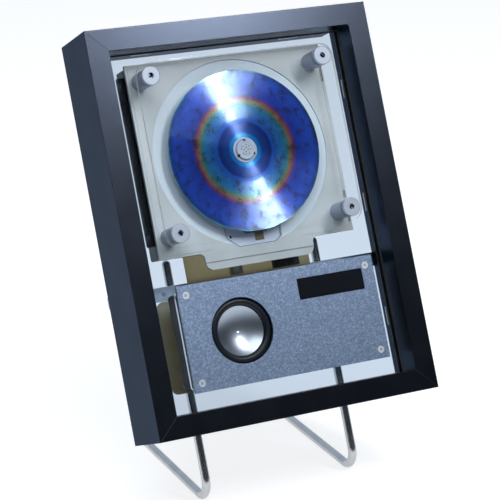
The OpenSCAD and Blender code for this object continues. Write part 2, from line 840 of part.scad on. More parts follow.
module pan_screws(points, seat, length) {
    for (p = points) {
        round_bar(p, [seat - length, seat], screw_d / 2);
        turned(p) intersection() {
            translate([0, seat + head_t - head_d]) circle(head_d);
            translate([0, seat]) square([head_d / 2, head_t]);
        }
    }
}

module rear_screws() {
    color("silver") leaned() {
        pan_screws(corner_screws, frame_d, plate_t + pilot_depth - 1);
        pan_screws(hang_screws, hang_back, plate_t + pilot_depth - 1);
        pan_screws(concat(bar_screws, low_bar_screws), frame_d + bar_t, bar_t + pilot_depth - 1);
        pan_screws(low_saddle_screws, frame_d + bar_t + saddle_t, bar_t + saddle_t + pilot_depth - 1);
        pan_screws(high_saddle_screws, frame_d + bar_t + saddle_t, bar_t + saddle_t);
    }
}

// Cover plate, caps and standoffs
module cover_plate() {
    x = post_x + cover_edge;
    color("azure", 0.3) leaned() difference() {
        slab([cover_y, cover_back]) rounded([-x, x], [post_low - cover_edge, post_high + cover_edge], cover_edge);
        round_bars(post_points, [cover_y - 1, cover_back + 1], cap_screw_d / 2 + hole_fit);
    }
}

module cover_caps() {
    edge = 0.5;
    r = cap_d / 2;
    color("lightsteelblue") leaned() for (p = post_points) difference() {
        union() {
            turned(p) polygon([[0, cap_y], [r - edge, cap_y], [r, cap_y + edge], [r, cover_y], [0, cover_y]]);
            round_bar(p, [cover_y - eps, panel_back + cap_screw_reach], cap_screw_d / 2);
        }
        translate([p[0], cap_y, p[1]]) rotate([-90, 0, 0])
            cylinder(h = 2 * cap_key_depth, r = cap_key / sqrt(3), center = true, $fn = 6);
    }
}

module standoff_barrels() {
    color("silver") leaned() for (p = post_points) difference() {
        round_bar(p, [cover_back, tray_y], barrel_d / 2);
        round_bar(p, [cover_back - 1, tray_y + 1], cap_screw_d / 2 + hole_fit);
    }
}

// Tray: moulded plate with a shallow well, a finger notch and a tongue
module tray_outline() {
    x = tongue_w / 2;
    translate([-tray_w / 2, tray_low]) square([tray_w, tray_top - tray_low]);
    rounded([-x, x], [tongue_low, tray_low + tongue_r], tongue_r);
    for (s = [-1, 1]) difference() {
        translate([s * (x + shoulder_r / 2), tray_low - shoulder_r / 2]) square(shoulder_r, center = true);
        translate([s * (x + shoulder_r), tray_low - shoulder_r]) circle(shoulder_r);
    }
}

module disc_tray() {
    through = [tray_y - 1, tray_back + 1];
    color("ivory") leaned() difference() {
        slab([tray_y, tray_back]) tray_outline();
        round_bar([0, disc_z], [tray_y - 1, tray_y + well_depth], well_r);
        slab([tray_y - 1, notch_floor]) polygon(notch);
        round_bar([0, disc_z], through, motor_d / 2 + tray_window);
        block([-lens_slot / 2, lens_slot / 2], through, [lens_slot_low, disc_z]);
        round_bar(notch_hole, through, notch_hole_d / 2);
        block([ribbon_x - ribbon_w / 2 - hole_fit, ribbon_x + ribbon_w / 2 + hole_fit], through,
            [ribbon_zs[0] - hole_fit, ribbon_zs[0] + ribbon_t + hole_fit]);
        round_bars(post_points, through, cap_screw_d / 2 + hole_fit);
        block([-tongue_w, tongue_w], [tray_y - 1, tray_y + tongue_step], [tongue_low - 1, tongue_line]);
    }
}

module drive_deck() {
    color("#16181b") leaned() difference() {
        slab([tray_back, panel_y]) difference() {
            translate([-deck_w / 2, deck_low]) square([deck_w, deck_top - deck_low]);
            mech_slot();
        }
        round_bars(post_points, [tray_back - 1, panel_y + 1], cap_screw_d / 2 + hole_fit);
    }
}

// Outline of the drive box: a broad cross that leaves its four corners to the posts
module box_outline(inset) {
    x = deck_w / 2 - inset;
    notch_x = deck_w / 2 - corner_post_w - corner_post_gap - inset;
    notch_z = corner_post_h + corner_post_gap + inset;
    translate([-x, deck_low + notch_z]) square([2 * x, deck_top - deck_low - 2 * notch_z]);
    translate([-notch_x, deck_low + inset]) square([2 * notch_x, deck_top - deck_low - 2 * inset]);
}

module drive_box() {
    color("#131517") leaned() difference() {
        union() {
            difference() {
                slab([panel_back, box_back]) box_outline(0);
                slab([panel_back - 1, box_back - box_wall]) box_outline(box_wall);
            }
            round_bars(mech_points, [mech_back, box_back - box_wall / 2], spacer_d / 2);
        }
        for (i = [-4:4]) slab([box_back - box_wall - 1, box_back + 1])
            rounded([i * vent_pitch - vent_w / 2, i * vent_pitch + vent_w / 2], vent_zs, vent_w / 2 - eps);
    }
}

module corner_posts() {
    x = [deck_w / 2 - corner_post_w, deck_w / 2];
    color("slategray") leaned() for (s = [-1, 1], low = [deck_low, deck_top - corner_post_h])
        difference() {
            slab([panel_back, box_back - box_wall]) mirror([s > 0 ? 0 : 1, 0])
                rounded(x, [low, low + corner_post_h], board_round);
            round_bars(post_points, [panel_back - 1, panel_back + cap_screw_reach], cap_screw_d / 2);
        }
}

// Disc, hub and spindle
module disc() {
    color("royalblue") leaned() difference() {
        round_bar([0, disc_z], [disc_y, disc_back], disc_d / 2);
        round_bar([0, disc_z], [disc_y - 1, disc_back + 1], disc_bore / 2);
    }
}

module spindle_hub() {
    nose_r = disc_bore / 2 - hub_fit;
    nose_y = disc_y - hub_nose;
    lead = 0.6;
    dimple = 0.5;
    color("white") leaned() difference() {
        turned([0, disc_z]) polygon([[0, nose_y + dimple], [nose_r - 2, nose_y + dimple],
            [nose_r - 1.4, nose_y], [nose_r - lead, nose_y], [nose_r, nose_y + lead],
            [nose_r, disc_back], [hub_flange_d / 2, disc_back],
            [hub_flange_d / 2, disc_back + hub_flange_t], [0, disc_back + hub_flange_t]]);
        round_bar([0, disc_z], [nose_y + 1.2, disc_back + 2 * hub_flange_t], spindle_d / 2);
        for (p = ball_points) ball_at(p, ball_d / 2);
    }
}

module ball_at(p, r) {
    translate([p[0], disc_y - ball_d / 2, p[1]]) sphere(r);
}

module hub_balls() {
    color("dimgray") leaned() for (p = ball_points) ball_at(p, ball_d / 2);
}

module spindle_shaft() {
    color("silver") leaned() round_bar([0, disc_z], [disc_y - hub_nose + 1.2, mech_y - 0.5], spindle_d / 2);
}

module spindle_motor() {
    edge = 0.8;
    r = motor_d / 2;
    color("silver") leaned() difference() {
        turned([0, disc_z]) polygon([[0, motor_y], [r - edge, motor_y], [r, motor_y + edge],
            [r, mech_y], [0, mech_y]]);
        round_bar([0, disc_z], [motor_y - 1, mech_y + 1], spindle_d / 2 + run_fit);
    }
}

// Mechanism plate with rod holders and the gear pin
module mech_plate() {
    color("gray") leaned() difference() {
        union() {
            slab([mech_y, mech_back]) rounded(mech_xs, mech_zs, slot_round);
            for (x = [-guide_dx / 2, guide_dx / 2], z = holder_zs)
                block([x - holder_half, x + holder_half], [guide_y - guide_d / 2 - 1, mech_y + eps],
                    [z - holder_t / 2, z + holder_t / 2]);
            round_bar([pinion_x, pinion_z], [pinion_y - gear_end, mech_y + eps], gear_pin_d / 2);
            round_bar([pinion_x, pinion_z], [gear_y + gear_t + gear_end, mech_y + eps], gear_pin_d / 2 + 1);
        }
        for (x = [-guide_dx / 2, guide_dx / 2]) guide_rod(x, guide_d / 2, 1);
        round_bar([motor_x, pinion_z], [mech_y - 1, mech_back + 1], sled_shaft_d / 2 + 10 * run_fit);
    }
}

module guide_rod(x, r, extra) {
    translate([x, guide_y, holder_zs[0] - holder_t / 2 - extra])
        cylinder(h = holder_zs[1] - holder_zs[0] + holder_t + 2 * extra, r = r);
}

module guide_rods() {
    color("silver") leaned() for (x = [-guide_dx / 2, guide_dx / 2]) guide_rod(x, guide_d / 2, 0);
}

// Pickup sled with the rack along its right side
module pickup_sled() {
    head_x = head_half + head_wall;
    color("#202226") leaned() difference() {
        union() {
            block([-sled_half, sled_half], [sled_y, sled_back], sled_zs);
            block([-head_x, head_x], [head_y, sled_y + eps], [head_zs[0] - head_wall, head_zs[1] + head_wall]);
            rack();
        }
        block([-head_half, head_half], [head_y - 1, head_floor], head_zs);
        for (x = [-guide_dx / 2, guide_dx / 2]) guide_rod(x, guide_d / 2 + run_fit, 1);
    }
}

function rack_tooth(z) = let (pitch = PI * rack_module, tip = rack_x + 0.9 * rack_module)
    [[rack_foot - eps, z - 0.29 * pitch], [tip, z - 0.11 * pitch],
        [tip, z + 0.11 * pitch], [rack_foot - eps, z + 0.29 * pitch]];

module rack() {
    pitch = PI * rack_module;
    first = ceil((rack_zs[0] - pinion_z) / pitch);
    last = floor((rack_zs[1] - pinion_z) / pitch) - 1;
    slab([pinion_y, sled_back]) {
        translate([sled_half - eps, rack_zs[0]])
            square([rack_foot - sled_half + eps, rack_zs[1] - rack_zs[0]]);
        for (i = [first:last]) polygon(rack_tooth(pinion_z + (i + 0.5) * pitch));
    }
}

// Lens in its carrier, which floats in the head of the sled
module pickup_lens() {
    x = head_half - lens_gap;
    bed = 1.2;
    color("darkslateblue") leaned() {
        difference() {
            block([-x, x], [lens_y, lens_y + carrier_t], [head_zs[0] + lens_gap, head_zs[1] - lens_gap]);
            round_bar([0, lens_z], [lens_y - 1, lens_y + bed], lens_d / 2);
        }
        turned([0, lens_z]) intersection() {
            translate([0, lens_y + lens_d * 0.7]) circle(lens_d * 0.7);
            translate([0, lens_y]) square([lens_d / 2, bed + eps]);
        }
    }
}

// Outline of a spur gear with straight-sided teeth, one tooth pointing along +X
module gear_outline(module_mm, teeth) {
    r = module_mm * teeth / 2;
    step = 360 / teeth;
    root = r - 1.2 * module_mm;
    tip = r + 0.9 * module_mm;
    polygon([for (i = [0:teeth - 1], c = [[root, -0.31], [tip, -0.1], [tip, 0.1], [root, 0.31]])
        c[0] * [cos((i + c[1]) * step), sin((i + c[1]) * step)]]);
}

module gear_at(at, y, module_mm, teeth, turn) {
    slab(y) translate(at) rotate(turn) gear_outline(module_mm, teeth);
}

module drive_gear() {
    at = [pinion_x, pinion_z];
    color("white") leaned() difference() {
        union() {
            gear_at(at, [pinion_y, gear_y + eps], rack_module, pinion_teeth, 0);
            gear_at(at, [gear_y, gear_y + gear_t], gear_module, gear_teeth, 0);
        }
        round_bar(at, [pinion_y - 1, mech_y], gear_pin_d / 2 + run_fit);
    }
}

module motor_gear() {
    at = [motor_x, pinion_z];
    color("goldenrod") leaned() {
        gear_at(at, [gear_y, gear_y + gear_t], gear_module, motor_teeth, 180 / motor_teeth);
        round_bar(at, [gear_y + gear_t - eps, mech_back + sled_shaft_len], sled_shaft_d / 2);
    }
}

module sled_motor() {
    at = [motor_x, pinion_z];
    color("silver") leaned() difference() {
        round_bar(at, [mech_back, box_back - box_wall], sled_motor_d / 2);
        round_bar(at, [mech_back - 1, mech_back + sled_shaft_len + 0.4], sled_shaft_d / 2 + run_fit);
    }
}

// A flat cable laid on the floor of the notch, turned back through a slit and over the lens slot's edge
module flex_ribbon() {
    front = notch_floor - ribbon_t;
    low = ribbon_zs[0];
    high = ribbon_zs[1];
    color("#8a7a4c") leaned() side_slab([ribbon_x - ribbon_w / 2, ribbon_x + ribbon_w / 2])
        polygon([[front, low], [tray_back, low], [tray_back, low + ribbon_t], [notch_floor, low + ribbon_t],
            [notch_floor, high - ribbon_t], [tray_back, high - ribbon_t], [tray_back, high], [front, high]]);
}

// Circuit boards
module drive_board() {
    x = drive_board_w / 2;
    color("#8b8062") leaned() difference() {
        slab([drive_board_y, drive_board_y + board_t])
            rounded([-x, x], [drive_board_low, drive_board_top], board_round);
        round_bars(drive_spacers, [drive_board_y - 1, drive_board_y + board_t + 1], screw_d / 2);
    }
}

// Chips on the back of the board, and the block that shows below the tray
module drive_board_chips() {
    back = drive_board_y + board_t;
    color("#101010") leaned() {
        for (c = chips) block([c[0], c[0] + c[2]], [back, back + chip_t], [c[1], c[1] + c[3]]);
        round_bars(capacitors, [back, back + 2 * chip_t], capacitor_d / 2);
        block(block_xs, [drive_board_y - block_d, drive_board_y], [drive_board_low + 1, drive_board_low + 1 + block_h]);
    }
}

module board_connector() {
    wall = 1;
    x = connector_xs;
    z = [drive_board_low + 1, drive_board_low + 1 + connector_h];
    color("white") leaned() difference() {
        block(x, [drive_board_y - connector_d, drive_board_y], z);
        block([x[0] + wall, x[1] - wall], [drive_board_y - connector_d - 1, drive_board_y - 2],
            [z[0] + wall, z[1] - wall]);
    }
}

module board_spacers() {
    color("silver") leaned() difference() {
        union() {
            round_bars(drive_spacers, [box_back, drive_board_y], spacer_d / 2);
            round_bars(amp_spacers, [panel_back, amp_board_y], spacer_d / 2);
        }
        round_bars(concat(drive_spacers, amp_spacers), [panel_back - 1, amp_board_y + 1], screw_d / 2);
    }
}

module amp_board() {
    x = amp_board_w / 2;
    color("#7d7350") leaned() difference() {
        slab([amp_board_y, amp_board_y + board_t])
            rounded([-x, x], [amp_board_low, amp_board_top], amp_board_r);
        round_bars(amp_spacers, [amp_board_y - 1, amp_board_y + board_t + 1], screw_d / 2);
    }
}

// Amplifier
module faceplate() {
    x = face_w / 2;
    color("#8c9fbc") leaned() difference() {
        slab([face_y, case_y]) difference() {
            translate([-x, face_low]) square([2 * x, face_top - face_low]);
            translate(speaker_at) circle(d = speaker_d, $fn = 96);
            window_outline(window_gap);
        }
        for (p = face_points) turned(p) polygon([[0, face_y - eps], [face_head_d / 2 + hole_fit, face_y - eps],
            [face_screw_d / 2 + hole_fit, face_y + face_head_t], [face_screw_d / 2 + hole_fit, case_y + 1],
            [0, case_y + 1]]);
    }
}

module window_outline(extra) {
    translate([window_x - window_w / 2 - extra, window_z - window_h / 2 - extra])
        square([window_w + 2 * extra, window_h + 2 * extra]);
}

module faceplate_screws() {
    r = face_screw_d / 2;
    color("silver") leaned() for (p = face_points) difference() {
        union() {
            turned(p) polygon([[0, face_y], [face_head_d / 2, face_y], [r, face_y + face_head_t],
                [r, panel_back + nut_t], [0, panel_back + nut_t]]);
            translate([p[0], panel_back, p[1]]) rotate([-90, 0, 0])
                cylinder(h = nut_t, r = nut_across / sqrt(3), $fn = 6);
        }
        for (a = [45, 135]) translate([p[0], face_y, p[1]]) rotate([0, a, 0])
            block([-cross_half, cross_half], [-1, cross_depth], [-cross_w / 2, cross_w / 2]);
    }
}

module display_window() {
    color("#0d0f17") leaned() slab([face_y + glass_set, case_y]) window_outline(0);
}

module display_module() {
    color("#243a2c") leaned() slab([case_y, case_y + display_d]) window_outline(display_rim);
}

module case_block(y, inset) {
    slab(y) rounded([-case_x + inset, case_x - inset], [case_low + inset, case_top - inset], case_round);
}

module case_holes(y) {
    round_bars(face_points, y, face_screw_d / 2 + hole_fit);
}

// Front half of the case, with a seat for the speaker and a pocket for the display
module amp_front_case() {
    color("#15171a") leaned() difference() {
        case_block([case_y, case_mid], 0);
        round_bar(speaker_at, [case_y - 1, basket_y + basket_t], basket_d / 2 + hole_fit);
        round_bar(speaker_at, [case_y, case_mid + 1], seat_r);
        slab([case_y - 1, case_y + display_d + hole_fit]) window_outline(display_rim + hole_fit);
        case_holes([case_y - 1, case_mid + 1]);
    }
}

module amp_mid_plate() {
    color("silver") leaned() difference() {
        case_block([case_mid, case_rear], -mid_proud);
        round_bar(speaker_at, [case_mid - 1, case_rear + 1], seat_r);
        case_holes([case_mid - 1, case_rear + 1]);
    }
}

module amp_rear_case() {
    floor_y = panel_y - case_wall;
    color("#15171a") leaned() difference() {
        union() {
            difference() {
                case_block([case_rear, panel_y], 0);
                case_block([case_rear - 1, floor_y], case_wall);
            }
            intersection() {
                case_block([case_rear, panel_y], 0);
                round_bars(face_points, [case_rear, panel_y], boss_d / 2);
            }
        }
        case_holes([case_rear - 1, panel_y + 1]);
    }
}

// Speaker, turned about its own axis
module speaker_cone() {
    centre = cone_y + cone_dish - dish_r;
    color("silver") leaned() turned(speaker_at) intersection() {
        difference() {
            translate([0, centre + cone_t]) circle(dish_r, $fn = 4 * $fn);
            translate([0, centre]) circle(dish_r, $fn = 4 * $fn);
        }
        translate([0, cone_y - 1]) square([cone_r, cone_dish + cone_t + 2]);
    }
}

module speaker_surround() {
    foot = cone_y + rubber_t;
    color("#17181a") leaned() turned(speaker_at) {
        difference() {
            intersection() {
                translate([roll_r, cone_y]) circle(roll_out);
                translate([0, cone_y - roll_out]) square([lip_r, roll_out + eps]);
            }
            translate([roll_r, cone_y]) circle(roll_out - rubber_t);
        }
        translate([cone_r, cone_y - rubber_t]) square([roll_r - roll_out + rubber_t - cone_r, 2 * rubber_t]);
        translate([roll_r + roll_out - rubber_t, cone_y - rubber_t])
            square([lip_r - roll_r - roll_out + rubber_t, rubber_t + eps]);
    }
}

module voice_coil() {
    color("#b5713c") leaned() turned(speaker_at)
        translate([coil_r - coil_t, coil_y]) square([coil_t, coil_end - coil_y]);
}

// Basket: a rim against the faceplate, a flange, and a cone with four windows
module speaker_basket() {
    outer = basket_d / 2;
    cone_top = lip_r - basket_step;
    color("#2a2c2f") leaned() difference() {
        turned(speaker_at) polygon([[basket_rim, case_y], [outer, case_y], [outer, basket_y + basket_t],
            [cone_top, basket_y + basket_t], [basket_foot_r, magnet_y - basket_t],
            [basket_foot_r, magnet_y], [coil_r + coil_gap, magnet_y], [coil_r + coil_gap, magnet_y - basket_t],
            [basket_foot_r - basket_t, magnet_y - basket_t], [cone_top - basket_t, basket_y],
            [basket_rim, basket_y]]);
        for (a = [45, 135, 225, 315]) translate([speaker_x, 0, speaker_z]) rotate([0, a, 0])
            block([-basket_window / 2, basket_window / 2],
                [basket_y + basket_t + basket_bridge / 2, magnet_y - basket_bridge], [0, outer]);
    }
}

module speaker_magnet() {
    color("#3a3d40") leaned() difference() {
        round_bar(speaker_at, [magnet_y, magnet_y + magnet_h], magnet_d / 2);
        turned(speaker_at) translate([coil_r - coil_t - coil_gap, magnet_y - 1])
            square([coil_t + 2 * coil_gap, 1 + magnet_h - magnet_floor]);
    }
}

// Buttons and sockets in the right rail
module strip_body(extra) {
    side_slab([side_x - strip_t, side_x + extra])
        rounded([button_y - strip_half - extra, button_y + strip_half + extra],
            [channel_zs[0] - extra, channel_zs[1] + extra], strip_half - 1);
}

module button_strip() {
    color("silver") leaned() difference() {
        strip_body(0);
        for (z = button_zs) cross_pin([button_y, z], [side_x - strip_t - 1, side_x + 1], button_r + button_gap);
    }
}

// Board behind the buttons, one switch for each
module button_board() {
    back = rebate_x + board_t;
    color("#2f5a3c") leaned() {
        block([rebate_x, back], [channel_ys[0] + board_fit, channel_ys[1] - board_fit],
            [channel_zs[0] + board_fit, channel_zs[1] - board_fit]);
        for (z = button_zs) {
            block([back, switch_x - switch_pin_h], [button_y - switch_body / 2, button_y + switch_body / 2],
                [z - switch_body / 2, z + switch_body / 2]);
            cross_pin([button_y, z], [back, switch_x], switch_pin_r);
        }
    }
}

module button(i) {
    at = [button_y, button_zs[i]];
    edge = 0.3;
    face = side_x - button_set;
    color("dimgray") leaned() {
        cross_pin(at, [switch_x + button_travel + switch_gap, face - edge], button_r);
        cross_pin(at, [face - edge - eps, face], button_r - edge);
        cross_pin(at, [channel_x - flange_set - flange_t, channel_x - flange_set], flange_r);
    }
}

module sound_socket() {
    at = [button_y, socket_z];
    color("#141414") leaned() difference() {
        cross_pin(at, [socket_back, side_x], socket_d / 2);
        cross_pin(at, [socket_back + socket_floor, side_x + 1], socket_bore / 2);
    }
}

module power_inlet() {
    at = [button_y, inlet_z];
    color("#141414") leaned() {
        difference() {
            cross_pin(at, [socket_back, side_x], inlet_d / 2);
            cross_pin(at, [side_x - inlet_depth, side_x + 1], inlet_bore / 2);
        }
        cross_pin(at, [side_x - inlet_depth - eps, side_x - 1], inlet_pin_r);
    }
}

frame_top_rail();
frame_bottom_rail();
frame_left_rail();
frame_right_rail();
corner_plates();
rail_liners();
back_panel();
panel_clips();
stand_bars();
leg_left();
leg_right();
leg_saddles();
rear_screws();
hanging_plates();
cover_plate();
cover_caps();
standoff_barrels();
disc_tray();
drive_deck();
drive_box();
corner_posts();
disc();
spindle_hub();
hub_balls();
spindle_shaft();
spindle_motor();
mech_plate();
guide_rods();
pickup_sled();
pickup_lens();
drive_gear();
motor_gear();
sled_motor();
flex_ribbon();
drive_board();
drive_board_chips();
board_connector();
board_spacers();
faceplate();
faceplate_screws();
display_window();
display_module();
amp_front_case();
amp_mid_plate();
amp_rear_case();
speaker_basket();
speaker_surround();
speaker_cone();
voice_coil();
speaker_magnet();
amp_board();
button_strip();
button_board();
button(0);  // button_1
button(1);  // button_2
button(2);  // button_3
button(3);  // button_4
button(4);  // button_5
sound_socket();
power_inlet();
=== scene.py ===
# Framed disc player on two bent rods: camera, light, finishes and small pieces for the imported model
import math
import random

import bmesh
import bpy
from mathutils import Euler, Matrix, Vector


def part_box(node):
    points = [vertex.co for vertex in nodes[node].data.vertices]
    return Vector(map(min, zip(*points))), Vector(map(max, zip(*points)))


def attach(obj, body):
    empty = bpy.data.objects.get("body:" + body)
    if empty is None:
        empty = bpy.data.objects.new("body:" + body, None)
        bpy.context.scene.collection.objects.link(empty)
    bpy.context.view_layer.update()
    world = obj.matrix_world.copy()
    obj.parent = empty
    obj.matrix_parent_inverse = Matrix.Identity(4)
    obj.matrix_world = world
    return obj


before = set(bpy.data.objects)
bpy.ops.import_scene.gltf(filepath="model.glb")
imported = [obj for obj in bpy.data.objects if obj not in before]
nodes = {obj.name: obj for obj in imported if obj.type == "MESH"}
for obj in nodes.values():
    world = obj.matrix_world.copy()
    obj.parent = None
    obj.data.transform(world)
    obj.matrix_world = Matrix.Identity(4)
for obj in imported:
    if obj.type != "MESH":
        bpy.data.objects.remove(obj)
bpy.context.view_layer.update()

scene = bpy.context.scene
mm = 0.001
print("frame loaded:", len(nodes), "nodes")

# Camera: the photograph's place and angle, which the frame's four corners gave
camera = {"location": (-0.5887, -1.2310, 0.6382), "angles": (71.214, 0.44, -25.647), "lens": 139.96}


def makeCamera():
    data = bpy.data.cameras.new("photoCamera")
    data.lens = camera["lens"]
    data.sensor_width = 36
    data.clip_start = 0.05
    data.clip_end = 50
    eye = bpy.data.objects.new("photoCamera", data)
    eye.location = camera["location"]
    eye.rotation_euler = [math.radians(a) for a in camera["angles"]]
    scene.collection.objects.link(eye)
    scene.camera = eye


makeCamera()
print("camera placed")

# The player leans back: upright places (x, depth behind the frame's face, height from its middle) in mm
frameBox = {"lean": 24.5, "height": 295.0}
leanAngle = math.radians(frameBox["lean"])


def frameMatrix():
    low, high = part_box("frame_left_rail")
    half = frameBox["height"] / 2 * mm
    back = frameBox["height"] / 2 * math.cos(leanAngle) * mm
    middle = Vector((0, low.y + half * math.sin(leanAngle), high.z - back))
    return Matrix.Translation(middle) @ Matrix.Rotation(-leanAngle, 4, "X")


upright = frameMatrix()


def place(x, depth, z):
    return upright @ Vector((x * mm, depth * mm, z * mm))


# Node helpers
def addNode(tree, kind, inputs=None, **settings):
    made = tree.nodes.new("ShaderNode" + kind)
    for name, value in settings.items():
        setattr(made, name, value)
    for name, value in (inputs or {}).items():
        if isinstance(value, bpy.types.NodeSocket):
            tree.links.new(value, made.inputs[name])
        else:
            made.inputs[name].default_value = value
    return made


def math2(tree, operation, a, b=0.0, c=0.0):
    return addNode(tree, "Math", {0: a, 1: b, 2: c}, operation=operation).outputs[0]


def ramp(tree, factor, stops, mode="LINEAR"):
    made = addNode(tree, "ValToRGB", {"Fac": factor})
    made.color_ramp.interpolation = mode
    marks = made.color_ramp.elements
    while len(marks) < len(stops):
        marks.new(0.5)
    for mark, (where, colour) in zip(marks, stops):
        mark.position = where
        mark.color = (*colour, 1) if len(colour) == 3 else colour
    return made.outputs["Color"]


def mixColour(tree, factor, a, b, blend="MIX"):
    made = addNode(tree, "Mix", {"Factor": factor}, data_type="RGBA", blend_type=blend)
    for slot, value in ((6, a), (7, b)):
        if isinstance(value, bpy.types.NodeSocket):
            tree.links.new(value, made.inputs[slot])
        else:
            made.inputs[slot].default_value = (*value, 1)
    return made.outputs[2]


def localPoint(tree, origin=(0, 0, 0), stretch=(1, 1, 1)):
    # Object coordinates turned upright, in mm from a chosen place
    coords = addNode(tree, "TexCoord").outputs["Object"]
    centre = place(*origin)
    turned = addNode(tree, "Mapping", {"Vector": coords, "Location": centre,
                                       "Rotation": Euler((-leanAngle, 0, 0))}, vector_type="TEXTURE")
    scaled = addNode(tree, "Mapping", {"Vector": turned.outputs[0],
                                       "Scale": [s / mm for s in stretch]}, vector_type="POINT")
    return scaled.outputs[0]


def noise(tree, vector, size, detail=3.0, roughness=0.5):
    return addNode(tree, "TexNoise", {"Vector": vector, "Scale": 1 / size, "Detail": detail,
                                      "Roughness": roughness}).outputs["Fac"]


def startMaterial(name):
    made = bpy.data.materials.new(name)
    made.use_nodes = True
    tree = made.node_tree
    tree.nodes.clear()
    shader = addNode(tree, "BsdfPrincipled")
    output = addNode(tree, "OutputMaterial", {"Surface": shader.outputs[0]})
    return made, tree, shader, output


def shadeEdges(tree, shader, height, depth, edge):
    # Fine relief, with the sharp edges softened by a small radius
    inputs = {"Height": height, "Distance": depth * mm, "Strength": 1.0}
    if edge:
        inputs["Normal"] = addNode(tree, "Bevel", {"Radius": edge * mm}, samples=4).outputs[0]
    bump = addNode(tree, "Bump", inputs)
    tree.links.new(bump.outputs[0], shader.inputs["Normal"])


def finish(name, dark, light, grain, rough, relief, metallic=0.0, stretch=(1, 1, 1), edge=0.3,
           coat=0.0, coatRough=0.1, specular=0.5, detail=3.0, rim=(1, 1, 1)):
    # A finish whose colour, gloss and relief all follow one grain, grain and relief in mm
    made, tree, shader, output = startMaterial(name)
    point = localPoint(tree, stretch=stretch)
    fine = noise(tree, point, grain, detail)
    broad = noise(tree, point, grain * 24, 2)
    blend = math2(tree, "MULTIPLY_ADD", broad, 0.45, math2(tree, "MULTIPLY", fine, 0.55))
    colour = ramp(tree, blend, [(0.32, dark), (0.68, light)])
    tree.links.new(colour, shader.inputs["Base Color"])
    gloss = addNode(tree, "MapRange", {"Value": blend, "From Min": 0.3, "From Max": 0.7,
                                       "To Min": rough[0], "To Max": rough[1]})
    tree.links.new(gloss.outputs[0], shader.inputs["Roughness"])
    shader.inputs["Metallic"].default_value = metallic
    shader.inputs["Specular IOR Level"].default_value = specular
    shader.inputs["Specular Tint"].default_value = (*rim, 1)
    shader.inputs["Coat Weight"].default_value = coat
    shader.inputs["Coat Roughness"].default_value = coatRough
    shadeEdges(tree, shader, fine, relief, edge)
    return made


